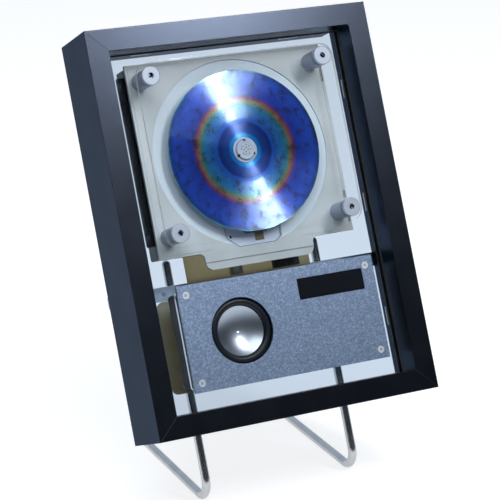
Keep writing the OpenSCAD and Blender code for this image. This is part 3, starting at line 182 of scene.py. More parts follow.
# Finishes: dark and light colour, grain size, roughness range, relief
finishes = {
    "blackAnodised": dict(dark=(0.042, 0.051, 0.072), light=(0.052, 0.063, 0.087), grain=0.9,
                          rough=(0.22, 0.27), relief=0.004, metallic=1.0, edge=0.5, rim=(0.45, 0.47, 0.5)),
    "linerBlack": dict(dark=(0.016, 0.020, 0.025), light=(0.026, 0.032, 0.040), grain=0.7,
                       rough=(0.5, 0.6), relief=0.015, edge=0.2),
    # Near-black finish for painted shade in grooves, recesses and gaps
    "paintedShadeBlack": dict(dark=(0.001, 0.0012, 0.0015), light=(0.002, 0.0025, 0.003), grain=0.3,
                        rough=(0.8, 0.9), relief=0.03, edge=0, specular=0.1),
    "capAluminium": dict(dark=(0.40, 0.46, 0.56), light=(0.46, 0.52, 0.62), grain=0.3, rough=(0.42, 0.5),
                         relief=0.0015, metallic=0.5, edge=0.25),
    "satinRod": dict(dark=(0.42, 0.44, 0.46), light=(0.58, 0.60, 0.62), grain=0.5, rough=(0.2, 0.28),
                     relief=0.004, metallic=1.0, stretch=(1, 1, 0.06), edge=0),
    "zincPlate": dict(dark=(0.42, 0.43, 0.44), light=(0.62, 0.63, 0.65), grain=0.8, rough=(0.3, 0.45),
                      relief=0.006, metallic=1.0, edge=0.2),
    "barSteel": dict(dark=(0.38, 0.41, 0.42), light=(0.50, 0.53, 0.54), grain=0.4, rough=(0.34, 0.46),
                     relief=0.006, metallic=1.0, stretch=(0.08, 1, 1), edge=0.3),
    "turnedSteel": dict(dark=(0.52, 0.54, 0.57), light=(0.68, 0.70, 0.74), grain=0.3, rough=(0.2, 0.3),
                        relief=0.002, metallic=1.0, edge=0.15),
    "screwBright": dict(dark=(0.70, 0.74, 0.80), light=(0.84, 0.88, 0.94), grain=0.3, rough=(0.3, 0.4),
                        relief=0.002, metallic=0.5, edge=0.15),
    "midPlate": dict(dark=(0.62, 0.65, 0.68), light=(0.8, 0.83, 0.86), grain=0.4, rough=(0.22, 0.3),
                     relief=0.004, metallic=1.0, stretch=(0.08, 1, 0.08), edge=0.4),
    "mattBlack": dict(dark=(0.007, 0.008, 0.009), light=(0.015, 0.016, 0.018), grain=0.35,
                      rough=(0.5, 0.65), relief=0.02, edge=0.35),
    "greyPlastic": dict(dark=(0.045, 0.065, 0.080), light=(0.070, 0.095, 0.115), grain=0.4,
                        rough=(0.42, 0.55), relief=0.015, edge=0.3),
    "whitePlastic": dict(dark=(0.46, 0.56, 0.70), light=(0.54, 0.65, 0.80), grain=0.5,
                         rough=(0.28, 0.4), relief=0.006, edge=0.2),
    "motorSteel": dict(dark=(0.34, 0.35, 0.36), light=(0.5, 0.51, 0.52), grain=0.5, rough=(0.28, 0.4),
                       relief=0.004, metallic=1.0, edge=0.2),
    "darkIron": dict(dark=(0.02, 0.02, 0.022), light=(0.05, 0.05, 0.055), grain=0.5, rough=(0.45, 0.6),
                     relief=0.02, metallic=0.6, edge=0.3),
    "gearBrass": dict(dark=(0.50, 0.34, 0.12), light=(0.66, 0.48, 0.2), grain=0.3, rough=(0.25, 0.36),
                      relief=0.003, metallic=1.0, edge=0.1),
    "softRubber": dict(dark=(0.001, 0.004, 0.010), light=(0.003, 0.007, 0.014), grain=0.25,
                       rough=(0.34, 0.42), relief=0.006, edge=0, specular=0.35),
    "coilCopper": dict(dark=(0.45, 0.20, 0.08), light=(0.66, 0.34, 0.16), grain=0.3, rough=(0.3, 0.4),
                       relief=0.02, metallic=0.8, stretch=(0.05, 1, 0.05), edge=0),
    "moduleGreen": dict(dark=(0.015, 0.05, 0.025), light=(0.03, 0.08, 0.04), grain=0.6,
                        rough=(0.3, 0.45), relief=0.01, edge=0.2),
    "chipBlack": dict(dark=(0.008, 0.008, 0.009), light=(0.016, 0.016, 0.017), grain=0.3,
                      rough=(0.4, 0.55), relief=0.015, edge=0.15),
    "lensBlue": dict(dark=(0.04, 0.03, 0.12), light=(0.08, 0.06, 0.22), grain=0.6, rough=(0.05, 0.1),
                     relief=0.001, coat=1.0, coatRough=0.03, edge=0.1),
}
made = {name: finish(name, **values) for name, values in finishes.items()}
print("plain finishes made")

# Clear plastic: the back panel bends the light; the thin cover only mirrors, and its edges are painted as
# pale opaque glints
clear = {"panel": (0.60, 0.69, 0.79), "panelRough": (0.02, 0.08), "cover": (0.95, 0.98, 1.0),
         "coverEdgeGlint": (0.86, 0.93, 0.97), "mirror": 0.025, "mirrorRise": 0.9, "mirrorRough": 0.01,
         "smearRough": 0.03, "edgeGlintOpacity": 0.55, "refraction": 1.49}


def panelMaterial():
    plastic, tree, shader, output = startMaterial("panelClear")
    tint = clear["panel"]
    shader.inputs["Base Color"].default_value = (*tint, 1)
    shader.inputs["Transmission Weight"].default_value = 1.0
    shader.inputs["IOR"].default_value = clear["refraction"]
    smear = noise(tree, localPoint(tree), 22, 4)
    low, high = clear["panelRough"]
    gloss = addNode(tree, "MapRange", {"Value": smear, "From Min": 0.4, "From Max": 0.75, "To Min": low,
                                       "To Max": high})
    tree.links.new(gloss.outputs[0], shader.inputs["Roughness"])
    # Light reaches what lies behind the plastic without the noise of true caustics
    through = addNode(tree, "BsdfTransparent", {"Color": (*[0.5 + 0.5 * c for c in tint], 1)})
    shadow = addNode(tree, "LightPath").outputs["Is Shadow Ray"]
    both = addNode(tree, "MixShader", {"Fac": shadow, 1: shader.outputs[0], 2: through.outputs[0]})
    tree.links.new(both.outputs[0], output.inputs["Surface"])
    return plastic


def coverMaterial():
    plastic, tree, shader, output = startMaterial("coverClear")
    depthWay = upright.to_3x3() @ Vector((0, 1, 0))
    normal = addNode(tree, "TexCoord").outputs["Normal"]
    along = addNode(tree, "VectorMath", {0: normal, 1: depthWay}, operation="DOT_PRODUCT").outputs["Value"]
    # Faces along the depth are the cover's edges: painted pale and half opaque, a painted glint in place of
    # light along polished edges
    edge = math2(tree, "LESS_THAN", math2(tree, "ABSOLUTE", along), 0.5)
    facing = addNode(tree, "LayerWeight", {"Blend": 0.5}).outputs["Facing"]
    mirror = math2(tree, "MULTIPLY_ADD", math2(tree, "POWER", facing, 5.0), clear["mirrorRise"],
                   clear["mirror"])
    body = addNode(tree, "Mix", {"Factor": edge, 2: mirror, 3: clear["edgeGlintOpacity"]}, data_type="FLOAT")
    tree.links.new(body.outputs[0], shader.inputs["Alpha"])
    colour = mixColour(tree, edge, clear["cover"], clear["coverEdgeGlint"])
    tree.links.new(colour, shader.inputs["Base Color"])
    tree.links.new(math2(tree, "SUBTRACT", 1.0, edge), shader.inputs["Metallic"])
    smear = noise(tree, localPoint(tree), 18, 4)
    gloss = math2(tree, "MULTIPLY_ADD", smear, clear["smearRough"], clear["mirrorRough"])
    tree.links.new(gloss, shader.inputs["Roughness"])
    return plastic


made["panelClear"] = panelMaterial()
made["coverClear"] = coverMaterial()

# Frosted tray: milky plastic with slow clouds and a lighter ring where the well is
tray = {"low": (0.57, 0.65, 0.68), "high": (0.66, 0.74, 0.79), "ring": (0.72, 0.86, 0.98),
        "disc": (0, 22, 50), "wellRadius": 69.5, "notch": (0.68, 0.80, 0.98), "notchDepths": (1.3, 1.9),
        "notchTop": -47.0, "rough": 0.38, "milky": 0.25, "scatter": (0.004, 0.005, 0.006), "coat": 0.2}


def trayMaterial():
    ivory, tree, shader, output = startMaterial("ivoryTray")
    point = localPoint(tree, tray["disc"])
    parts = addNode(tree, "SeparateXYZ", {"Vector": point}).outputs
    flat = addNode(tree, "CombineXYZ", {"X": parts["X"], "Z": parts["Z"]}).outputs[0]
    radius = addNode(tree, "VectorMath", {0: flat}, operation="LENGTH").outputs["Value"]
    cloud = noise(tree, point, 30, 3)
    fine = noise(tree, point, 0.4, 2)
    base = ramp(tree, cloud, [(0.35, tray["low"]), (0.65, tray["high"])])
    inside = math2(tree, "LESS_THAN", radius, tray["wellRadius"])
    colour = mixColour(tree, inside, base, tray["ring"])
    # The notch's floor lies deeper than the well
    nearDepth, farDepth = tray["notchDepths"]
    deep = math2(tree, "GREATER_THAN", parts["Y"], nearDepth)
    thin = math2(tree, "LESS_THAN", parts["Y"], farDepth)
    low = math2(tree, "LESS_THAN", parts["Z"], tray["notchTop"])
    floor = math2(tree, "MULTIPLY", math2(tree, "MULTIPLY", deep, thin), low)
    colour = mixColour(tree, floor, colour, tray["notch"])
    tree.links.new(colour, shader.inputs["Base Color"])
    shader.inputs["Roughness"].default_value = tray["rough"]
    shader.inputs["Subsurface Weight"].default_value = tray["milky"]
    shader.inputs["Subsurface Radius"].default_value = tray["scatter"]
    shader.inputs["Coat Weight"].default_value = tray["coat"]
    shadeEdges(tree, shader, fine, 0.006, 0.35)
    return ivory


made["ivoryTray"] = trayMaterial()

# Bead-blasted faceplate: bright and dark specks on blue-grey metal
blasted = {"dark": (0.15, 0.22, 0.35), "middle": (0.27, 0.37, 0.55), "bright": (0.58, 0.70, 0.90),
           "speckSize": 0.32, "patchSize": 1.6, "metal": 0.9, "rough": (0.32, 0.48)}


def blastedMaterial():
    metal, tree, shader, output = startMaterial("blastedAluminium")
    point = localPoint(tree)
    speck = noise(tree, point, blasted["speckSize"], 2, 0.6)
    patch = noise(tree, point, blasted["patchSize"], 3, 0.7)
    mixed = math2(tree, "MULTIPLY_ADD", patch, 0.5, math2(tree, "MULTIPLY", speck, 0.5))
    colour = ramp(tree, mixed, [(0.36, blasted["dark"]), (0.52, blasted["middle"]),
                                (0.66, blasted["bright"])])
    tree.links.new(colour, shader.inputs["Base Color"])
    shader.inputs["Metallic"].default_value = blasted["metal"]
    smooth, coarse = blasted["rough"]
    gloss = addNode(tree, "MapRange", {"Value": speck, "From Min": 0.3, "From Max": 0.7,
                                       "To Min": smooth, "To Max": coarse})
    tree.links.new(gloss.outputs[0], shader.inputs["Roughness"])
    shadeEdges(tree, shader, speck, 0.012, 0.25)
    return metal


made["blastedAluminium"] = blastedMaterial()


# Metal turned on a lathe: fine rings round an axis through a place
def turnedMaterial(name, centre, dark, light, rings, rough, brushed, edge=0.2):
    metal, tree, shader, output = startMaterial(name)
    point = localPoint(tree, centre)
    parts = addNode(tree, "SeparateXYZ", {"Vector": point}).outputs
    flat = addNode(tree, "CombineXYZ", {"X": parts["X"], "Z": parts["Z"]}).outputs[0]
    radius = addNode(tree, "VectorMath", {0: flat}, operation="LENGTH").outputs["Value"]
    ring = addNode(tree, "TexNoise", {"W": radius, "Scale": rings, "Detail": 2.0},
                   noise_dimensions="1D").outputs["Fac"]
    colour = ramp(tree, ring, [(0.3, dark), (0.7, light)])
    tree.links.new(colour, shader.inputs["Base Color"])
    shader.inputs["Metallic"].default_value = 1.0
    shader.inputs["Roughness"].default_value = rough
    shader.inputs["Anisotropic"].default_value = brushed
    shader.inputs["Anisotropic Rotation"].default_value = 0.25
    tree.links.new(aroundAxis(tree, point), shader.inputs["Tangent"])
    shadeEdges(tree, shader, ring, 0.0006, edge)
    return metal


def aroundAxis(tree, point):
    # The direction round the depth axis, in world space, for brushed highlights
    across = addNode(tree, "VectorMath", {0: point, 1: (0, 1, 0)}, operation="CROSS_PRODUCT")
    leaned = addNode(tree, "Mapping", {"Vector": across.outputs[0],
                                       "Rotation": Euler((-leanAngle, 0, 0))}, vector_type="POINT")
    world = addNode(tree, "VectorTransform", {"Vector": leaned.outputs[0]}, vector_type="VECTOR",
                    convert_from="OBJECT", convert_to="WORLD")
    return world.outputs[0]


cone = {"centre": (-34.2, 6.0, -80.1), "dark": (0.38, 0.44, 0.52), "light": (0.42, 0.48, 0.56), "rings": 1.2,
        "rough": 0.32, "brushed": 0.0, "edge": 0}
made["coneMetal"] = turnedMaterial("coneMetal", **cone)

# Boards: tan laminate with tracks as thin raised lines
board = {"dark": (0.40, 0.34, 0.21), "light": (0.52, 0.45, 0.29), "track": (0.58, 0.48, 0.27),
         "through": (0.95, 0.83, 0.58)}
# Lit and shaded copies of one laminate: the amp board lets less light through, painted shade for the shadow
# of the amp case
boardGlow = {"boardTanLit": 0.65, "boardShaded": 0.28}
connector = {"colour": (0.72, 0.78, 0.80), "share": 0.75}


def boardMaterial(name):
    laminate, tree, shader, output = startMaterial(name)
    point = localPoint(tree)
    weave = noise(tree, point, 0.5, 2)
    cloud = noise(tree, point, 18, 2)
    base = ramp(tree, cloud, [(0.35, board["dark"]), (0.65, board["light"])])
    tracks = addNode(tree, "TexBrick", {"Vector": addNode(tree, "Mapping", {
        "Vector": point, "Rotation": Euler((math.radians(90), 0, 0))}).outputs[0],
        "Scale": 0.12, "Mortar Size": 0.02, "Brick Width": 0.9, "Row Height": 0.33}).outputs["Fac"]
    colour = mixColour(tree, math2(tree, "MULTIPLY", tracks, 0.35), base, board["track"])
    tree.links.new(colour, shader.inputs["Base Color"])
    shader.inputs["Roughness"].default_value = 0.45
    shader.inputs["Coat Weight"].default_value = 0.3
    height = math2(tree, "MULTIPLY_ADD", tracks, 0.7, math2(tree, "MULTIPLY", weave, 0.3))
    shadeEdges(tree, shader, height, 0.02, 0.15)
    # The thin laminate lets light through from behind
    glow = addNode(tree, "BsdfTranslucent", {"Color": (*board["through"], 1)})
    both = addNode(tree, "MixShader", {"Fac": boardGlow[name], 1: shader.outputs[0], 2: glow.outputs[0]})
    tree.links.new(both.outputs[0], output.inputs["Surface"])
    return laminate


def connectorMaterial():
    pale, tree, shader, output = startMaterial("connectorPale")
    grain = noise(tree, localPoint(tree), 0.4, 2)
    colour = ramp(tree, grain, [(0.3, [0.9 * c for c in connector["colour"]]), (0.7, connector["colour"])])
    tree.links.new(colour, shader.inputs["Base Color"])
    shader.inputs["Roughness"].default_value = 0.4
    shadeEdges(tree, shader, grain, 0.01, 0.2)
    glow = addNode(tree, "BsdfTranslucent", {"Color": colour})
    both = addNode(tree, "MixShader", {"Fac": connector["share"], 1: shader.outputs[0], 2: glow.outputs[0]})
    tree.links.new(both.outputs[0], output.inputs["Surface"])
    return pale


made["connectorPale"] = connectorMaterial()
for boardName in boardGlow:
    made[boardName] = boardMaterial(boardName)

# Dark glass of the display, with a faint grid of unlit dots behind it
display = {"glass": (0.004, 0.005, 0.008), "dots": (0.010, 0.012, 0.018), "pitch": 0.9, "gap": 0.12,
           "rough": 0.07, "coat": 0.5}


def displayMaterial():
    glass, tree, shader, output = startMaterial("displayGlass")
    point = localPoint(tree)
    parts = addNode(tree, "SeparateXYZ", {"Vector": point}).outputs
    marks = []
    for axis in ("X", "Z"):
        wave = math2(tree, "PINGPONG", parts[axis], display["pitch"] / 2)
        marks.append(math2(tree, "GREATER_THAN", wave, display["pitch"] * display["gap"]))
    dots = math2(tree, "MULTIPLY", marks[0], marks[1])
    colour = mixColour(tree, dots, display["glass"], display["dots"])
    tree.links.new(colour, shader.inputs["Base Color"])
    shader.inputs["Roughness"].default_value = display["rough"]
    shader.inputs["Coat Weight"].default_value = display["coat"]
    shader.inputs["Coat Roughness"].default_value = 0.02
    shadeEdges(tree, shader, noise(tree, point, 20, 2), 0.01, 0.15)
    return glass


made["displayGlass"] = displayMaterial()

# Amber film of the flat cable, with its conductors
cable = {"film": (0.17, 0.15, 0.085), "wires": (0.23, 0.20, 0.12), "pitch": 0.5, "gap": 0.11, "rough": 0.35,
         "coat": 0.5}


def filmMaterial():
    film, tree, shader, output = startMaterial("cableFilm")
    point = localPoint(tree)
    parts = addNode(tree, "SeparateXYZ", {"Vector": point}).outputs
    wave = math2(tree, "PINGPONG", parts["X"], cable["pitch"] / 2)
    lines = math2(tree, "GREATER_THAN", wave, cable["gap"])
    colour = mixColour(tree, lines, cable["film"], cable["wires"])
    tree.links.new(colour, shader.inputs["Base Color"])
    shader.inputs["Roughness"].default_value = cable["rough"]
    shader.inputs["Coat Weight"].default_value = cable["coat"]
    shadeEdges(tree, shader, lines, 0.01, 0)
    return film


made["cableFilm"] = filmMaterial()

# The disc: blue foil with fine grooves, a painted spectrum ring of diffracted light and a loose scatter of
# specks
discLook = {"centre": (0, 14.5, 50), "radius": 60.0, "specksFrom": 23.5, "speckLevel": 0.85, "drift": 0.035,
            "speckSize": 0.75, "clusterSize": 7, "speck": (0.01, 0.01, 0.02), "rough": 0.34, "brushed": 0.95,
            "groove": (0.13, 0.17, 0.19), "grooveRough": 0.24, "grooveSpread": 0.76,
            "innerGroove": (0.02, 0.03, 0.04), "metal": 0.5, "coat": 0.15, "coatRough": 0.04,
            "stops": [(0.0, (0.0, 0.20, 0.62)), (0.19, (0.0, 0.20, 0.62)), (0.23, (0.0, 0.05, 0.30)),
                      (0.345, (0.0, 0.02, 0.20)), (0.365, (0.0, 0.08, 0.46)), (0.50, (0.0, 0.15, 0.46)),
                      # Stops 0.56 to 0.66 paint the rainbow of diffracted light into the colour, a painted
                      # reflection
                      (0.56, (0.01, 0.18, 0.26)), (0.60, (0.14, 0.17, 0.07)), (0.63, (0.26, 0.07, 0.07)),
                      (0.66, (0.11, 0.02, 0.18)), (0.69, (0.0, 0.03, 0.42)), (0.92, (0.0, 0.06, 0.55)),
                      (0.985, (0.0, 0.04, 0.34)), (1.0, (0.0, 0.30, 0.34))]}


def discMaterial():
    foil, tree, shader, output = startMaterial("discFoil")
    point = localPoint(tree, discLook["centre"])
    parts = addNode(tree, "SeparateXYZ", {"Vector": point}).outputs
    flat = addNode(tree, "CombineXYZ", {"X": parts["X"], "Z": parts["Z"]}).outputs[0]
    radius = addNode(tree, "VectorMath", {0: flat}, operation="LENGTH").outputs["Value"]
    drift = math2(tree, "MULTIPLY_ADD", noise(tree, flat, 5, 3), discLook["drift"], -discLook["drift"] / 2)
    reach = math2(tree, "ADD", math2(tree, "DIVIDE", radius, discLook["radius"]), drift)
    colour = ramp(tree, reach, discLook["stops"], "EASE")
    # Specks lie in clusters and stay off the inner zone
    cells = noise(tree, flat, discLook["speckSize"], 2, 0.65)
    where = noise(tree, flat, discLook["clusterSize"], 2)
    dots = math2(tree, "GREATER_THAN", math2(tree, "MULTIPLY_ADD", where, 0.55, cells),
                 discLook["speckLevel"])
    outer = math2(tree, "GREATER_THAN", radius, discLook["specksFrom"])
    specks = math2(tree, "MULTIPLY", dots, outer)
    colour = mixColour(tree, specks, colour, discLook["speck"])
    tree.links.new(colour, shader.inputs["Base Color"])
    shader.inputs["Metallic"].default_value = discLook["metal"]
    shader.inputs["Roughness"].default_value = discLook["rough"]
    shader.inputs["Anisotropic"].default_value = discLook["brushed"]
    shader.inputs["Anisotropic Rotation"].default_value = 0.25
    tangent = aroundAxis(tree, point)
    tree.links.new(tangent, shader.inputs["Tangent"])
    shader.inputs["Coat Weight"].default_value = discLook["coat"]
    shader.inputs["Coat Roughness"].default_value = discLook["coatRough"]
    grooves = addNode(tree, "TexNoise", {"W": radius, "Scale": 3.0, "Detail": 2.0},
                      noise_dimensions="1D").outputs["Fac"]
    shadeEdges(tree, shader, grooves, 0.001, 0)
    # The grooves throw a white fan of light across the foil, and none from the specks
    clean = math2(tree, "SUBTRACT", 1.0, specks)
    colour = mixColour(tree, math2(tree, "MULTIPLY", clean, outer), discLook["innerGroove"],
                       discLook["groove"])
    fan = addNode(tree, "BsdfAnisotropic", {"Color": colour, "Roughness": discLook["grooveRough"],
                                            "Anisotropy": discLook["grooveSpread"], "Tangent": tangent},
                  distribution="BECKMANN")
    both = addNode(tree, "AddShader", {0: shader.outputs[0], 1: fan.outputs[0]})
    tree.links.new(both.outputs[0], output.inputs["Surface"])
    return foil


made["discFoil"] = discMaterial()
print("special finishes made")

# Which node wears which finish
wears = {
    "blackAnodised": ["frame_top_rail", "frame_bottom_rail", "frame_left_rail", "frame_right_rail"],
    "linerBlack": ["rail_liners"],
    "satinRod": ["leg_left", "leg_right"],
    "zincPlate": ["corner_plates", "hanging_plates", "panel_clips", "leg_saddles", "mech_plate"],
    "barSteel": ["stand_bars", "button_strip"],
    "screwBright": ["faceplate_screws"],
    "turnedSteel": ["rear_screws", "guide_rods", "spindle_shaft", "board_spacers"],
    "capAluminium": ["cover_caps", "standoff_barrels"],
    "midPlate": ["amp_mid_plate"],
    "mattBlack": ["drive_deck", "drive_box", "pickup_sled", "amp_front_case", "amp_rear_case",
                  "sound_socket", "power_inlet"],
    "greyPlastic": ["corner_posts"] + ["button_%d" % i for i in range(1, 6)],
    "whitePlastic": ["spindle_hub", "drive_gear"],
    "connectorPale": ["board_connector"],
    "motorSteel": ["spindle_motor", "sled_motor"],
    "darkIron": ["speaker_basket", "speaker_magnet", "hub_balls"],
    "gearBrass": ["motor_gear"],
    "softRubber": ["speaker_surround"],
    "coilCopper": ["voice_coil"],
    "moduleGreen": ["display_module", "button_board"],
    "chipBlack": ["drive_board_chips"],
    "lensBlue": ["pickup_lens"],
    "coverClear": ["cover_plate"],
    "panelClear": ["back_panel"],
    "ivoryTray": ["disc_tray"],
    "blastedAluminium": ["faceplate"],
    "coneMetal": ["speaker_cone"],
    "boardTanLit": ["drive_board"],
    "boardShaded": ["amp_board"],
    "displayGlass": ["display_window"],
    "cableFilm": ["flex_ribbon"],
    "discFoil": ["disc"],
}
for finishName, names in wears.items():
    for name in names:
        shown = nodes[name]
        shown.data.materials.clear()
        shown.data.materials.append(made[finishName])
bare = set(nodes) - {name for names in wears.values() for name in names}
print("finishes given; nodes without one:", sorted(bare))


# New pieces
def newPiece(name, bm, finishName, body="player"):
    mesh = bpy.data.meshes.new(name)
    bmesh.ops.recalc_face_normals(bm, faces=bm.faces)
    bm.to_mesh(mesh)
    bm.free()
    piece = bpy.data.objects.new(name, mesh)
    mesh.materials.append(made[finishName])
    scene.collection.objects.link(piece)
    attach(piece, body)
    return piece


def addPrism(bm, outline, near, far):
    # A flat outline of (x, z) points between two depths
    front = [bm.verts.new(place(x, near, z)) for x, z in outline]
    back = [bm.verts.new(place(x, far, z)) for x, z in outline]
    bm.faces.new(front)
    bm.faces.new(back[::-1])
    count = len(outline)
    for i in range(count):
        j = (i + 1) % count
        bm.faces.new((front[j], front[i], back[i], back[j]))


def roundedOutline(x, z, width, height, radius, steps=6):
    points = []
    corners = ((1, 1, 0), (-1, 1, 90), (-1, -1, 180), (1, -1, 270))
    for sx, sz, start in corners:
        cx = x + sx * (width / 2 - radius)
        cz = z + sz * (height / 2 - radius)
        for i in range(steps + 1):
            a = math.radians(start + 90 * i / steps)
            points.append((cx + radius * math.cos(a), cz + radius * math.sin(a)))
    return points


# Thin moulding lines on the tray's face, inside its edge, and the small dark slots beside the posts
trayLines = {"inset": 2.2, "width": 0.5, "height": 0.25, "face": 22.0, "halfWidth": 79.0, "top": 123.2,
             "low": -20.0}
traySlots = {"x": 77.0, "width": 1.6, "spans": [(94.2, 107.3), (5.0, 10.8), (-13.6, -9.0)], "depth": 0.15}


def makeTrayLines():
    bm = bmesh.new()
    side = trayLines["halfWidth"] - trayLines["inset"]
    near = trayLines["face"] - trayLines["height"]
    half = trayLines["width"] / 2
    middle = (trayLines["top"] + trayLines["low"]) / 2
    height = trayLines["top"] - trayLines["low"] - 2 * trayLines["inset"]
    for s in (-1, 1):
        addPrism(bm, roundedOutline(s * side, middle, 2 * half, height, half * 0.9), near, trayLines["face"])
    for z in (trayLines["top"] - trayLines["inset"], trayLines["low"] + trayLines["inset"]):
        for s in (-1, 1):
            addPrism(bm, roundedOutline(s * 0.72 * side, z, 0.5 * side, 2 * half, half * 0.9),
                     near, trayLines["face"])
    newPiece("tray_lines", bm, "ivoryTray")


def makeTraySlots():
    bm = bmesh.new()
    for low, high in traySlots["spans"]:
        outline = roundedOutline(traySlots["x"], (low + high) / 2, traySlots["width"], high - low,
                                 traySlots["width"] * 0.35)
        addPrism(bm, outline, trayLines["face"] - traySlots["depth"], trayLines["face"])
    newPiece("tray_slots", bm, "chipBlack")


# Black painted shade in the hub's recessed dots, and a bright rim on the hub
hubDotShade = {"face": 12.6, "rings": [(1.6, 4), (3.7, 8)], "radius": 0.42, "height": 0.06}
hubRim = {"inner": 7.6, "outer": 9.6, "near": 14.2, "far": 14.5}


def makeHubDetail():
    random.seed(7)
    middle = discLook["centre"][2]
    bm = bmesh.new()
    for ringRadius, count in hubDotShade["rings"]:
        for i in range(count):
            a = 2 * math.pi * i / count + random.uniform(-0.25, 0.25)
            x = ringRadius * math.cos(a)
            z = middle + ringRadius * math.sin(a)
            outline = roundedOutline(x, z, 2 * hubDotShade["radius"], 2 * hubDotShade["radius"],
                                     hubDotShade["radius"] * 0.95, 3)
            addPrism(bm, outline, hubDotShade["face"] - hubDotShade["height"], hubDotShade["face"])
    newPiece("hub_dot_shade", bm, "chipBlack", "spindle")
    bm = bmesh.new()
    steps = 72
    rows = [(hubRim["inner"], hubRim["far"]), (hubRim["inner"] + 0.3, hubRim["near"]),
            (hubRim["outer"] - 0.5, hubRim["near"]), (hubRim["outer"], hubRim["far"])]
    rings = []
    for radius, depth in rows:
        ring = []
        for i in range(steps):
            a = 2 * math.pi * i / steps
            ring.append(bm.verts.new(place(radius * math.cos(a), depth, middle + radius * math.sin(a))))
        rings.append(ring)
    for near, far in zip(rings, rings[1:] + rings[:1]):
        for i in range(steps):
            j = (i + 1) % steps
            bm.faces.new((near[i], near[j], far[j], far[i]))
    newPiece("hub_rim", bm, "capAluminium", "spindle")


# Small parts soldered on the two boards, on the side that faces back
boardParts = {"drive": dict(x=(-46, 46), z=(-30, 58), depth=50.1, count=46, seed=3),
              "amp": dict(x=(-70, 70), z=(-112, -54), depth=50.1, count=60, seed=5)}
chips = [(-9, 12, 18, 18), (20, 0, 12, 8), (-34, 22, 12, 8), (8, 40, 16, 10)]
keepClear = chips + [(-40, -2, 18, 8), (-48, -14, 9, 9), (40, -14, 9, 9), (-48, 50, 9, 9), (40, 50, 9, 9),
                     (-71, -63, 10, 10), (61, -63, 10, 10), (-71, -113, 10, 10), (61, -113, 10, 10)]
smallPart = {"grid": 3, "long": 1.6, "short": 0.8, "rise": 0.5, "end": 0.3, "endShare": 0.42, "body": 0.7}


def isClear(x, z, margin=2.5):
    for left, low, width, height in keepClear:
        if left - margin < x < left + width + margin and low - margin < z < low + height + margin:
            return False
    return True


def makeBoardParts():
    grid, long, short = smallPart["grid"], smallPart["long"], smallPart["short"]
    end, share, slim = smallPart["end"], smallPart["endShare"], smallPart["body"]
    for name, spread in boardParts.items():
        random.seed(spread["seed"])
        bodies = bmesh.new()
        ends = bmesh.new()
        taken = []
        while len(taken) < spread["count"]:
            x = round(random.uniform(*spread["x"]) / grid) * grid
            z = round(random.uniform(*spread["z"]) / grid) * grid
            if (x, z) in taken or not isClear(x, z):
                continue
            taken.append((x, z))
            flip = random.random() < 0.5
            w, h = (long, short) if flip else (short, long)
            top = spread["depth"] + smallPart["rise"]
            addPrism(bodies, roundedOutline(x, z, w * slim if flip else w, h if flip else h * slim, 0.08, 1),
                     spread["depth"], top)
            for s in (-1, 1):
                ex = x + s * w * share if flip else x
                ez = z if flip else z + s * h * share
                addPrism(ends, roundedOutline(ex, ez, end if flip else w, h if flip else end, 0.05, 1),
                         spread["depth"], top + 0.02)
        newPiece(name + "_board_bodies", bodies, "chipBlack")
        newPiece(name + "_board_ends", ends, "turnedSteel")


# Rows of legs on the chips of the drive board
chipLegs = {"pitch": 1.0, "reach": 1.2, "width": 0.4, "depth": 50.1}


def makeChipLegs():
    bm = bmesh.new()
    for left, low, width, height in chips:
        count = int(width / chipLegs["pitch"]) - 1
        for i in range(count):
            x = left + width / 2 + (i - (count - 1) / 2) * chipLegs["pitch"]
            for s in (-1, 1):
                z = low + height / 2 + s * (height / 2 + chipLegs["reach"] / 2)
                outline = roundedOutline(x, z, chipLegs["width"], chipLegs["reach"], 0.05, 1)
                addPrism(bm, outline, chipLegs["depth"], chipLegs["depth"] + 0.25)
    newPiece("chip_legs", bm, "turnedSteel")


# Painted shade: a grey shadow line round the finger notch, black strips of groove shade on the liners, black
# shade on the walls of the caps' hexagon sockets, and black shade in the screws' crosses
notchShadowLine = {"outline": [(-24.8, 2), (-24.8, -4.5), (-24.1, -11.3), (-15.4, -18.8), (14, -18.8), (19.5, -15),
                        (19.5, 2)], "width": 0.4, "near": 21.88, "far": 22.0}
linerGrooveShade = {"near": 21.5, "far": 25.5, "proud": 0.12, "halfWidth": 96.5, "halfHeight": 131.5}
capSocketShade = {"places": [(-70, -5.6), (70, -5.6), (-70, 111.2), (70, 111.2)], "outer": 2.28, "inner": 1.8,
              "near": -1.9, "far": 0.0}
screwCrossShade = {"places": [(-72.8, -112.1), (72.8, -112.1), (-72.8, -48.7), (72.8, -48.7)], "half": 1.35,
                "width": 0.55, "near": 2.84, "far": 2.9}
# Black strip left of the tray, where the photograph shows a dark band; its depth is a guess
sideFlange = {"left": -84.0, "right": -77.8, "low": -9.0, "top": 116.0, "near": 30.2, "far": 31.4,
              "corner": 1.0}


def makeSideFlange():
    bm = bmesh.new()
    width = sideFlange["right"] - sideFlange["left"]
    height = sideFlange["top"] - sideFlange["low"]
    outline = roundedOutline(sideFlange["left"] + width / 2, sideFlange["low"] + height / 2, width, height,
                             sideFlange["corner"])
    addPrism(bm, outline, sideFlange["near"], sideFlange["far"])
    newPiece("side_flange", bm, "mattBlack")


# A thin grey strip of painted shadow along the notch's edge
def makeNotchShadowLine():
    bm = bmesh.new()
    corners = [Vector(corner) for corner in notchShadowLine["outline"]]
    middle = Vector((-2, -6))
    for start, end in zip(corners, corners[1:]):
        along = (end - start).normalized()
        out = Vector((along.y, -along.x))
        if out.dot(start - middle) < 0:
            out = -out
        out = out * notchShadowLine["width"]
        reach = along * notchShadowLine["width"] * 0.4
        quad = [start - reach, end + reach, end + reach + out, start - reach + out]
        addPrism(bm, [tuple(corner) for corner in quad], notchShadowLine["near"], notchShadowLine["far"])
    newPiece("notch_shadow_line", bm, "greyPlastic")


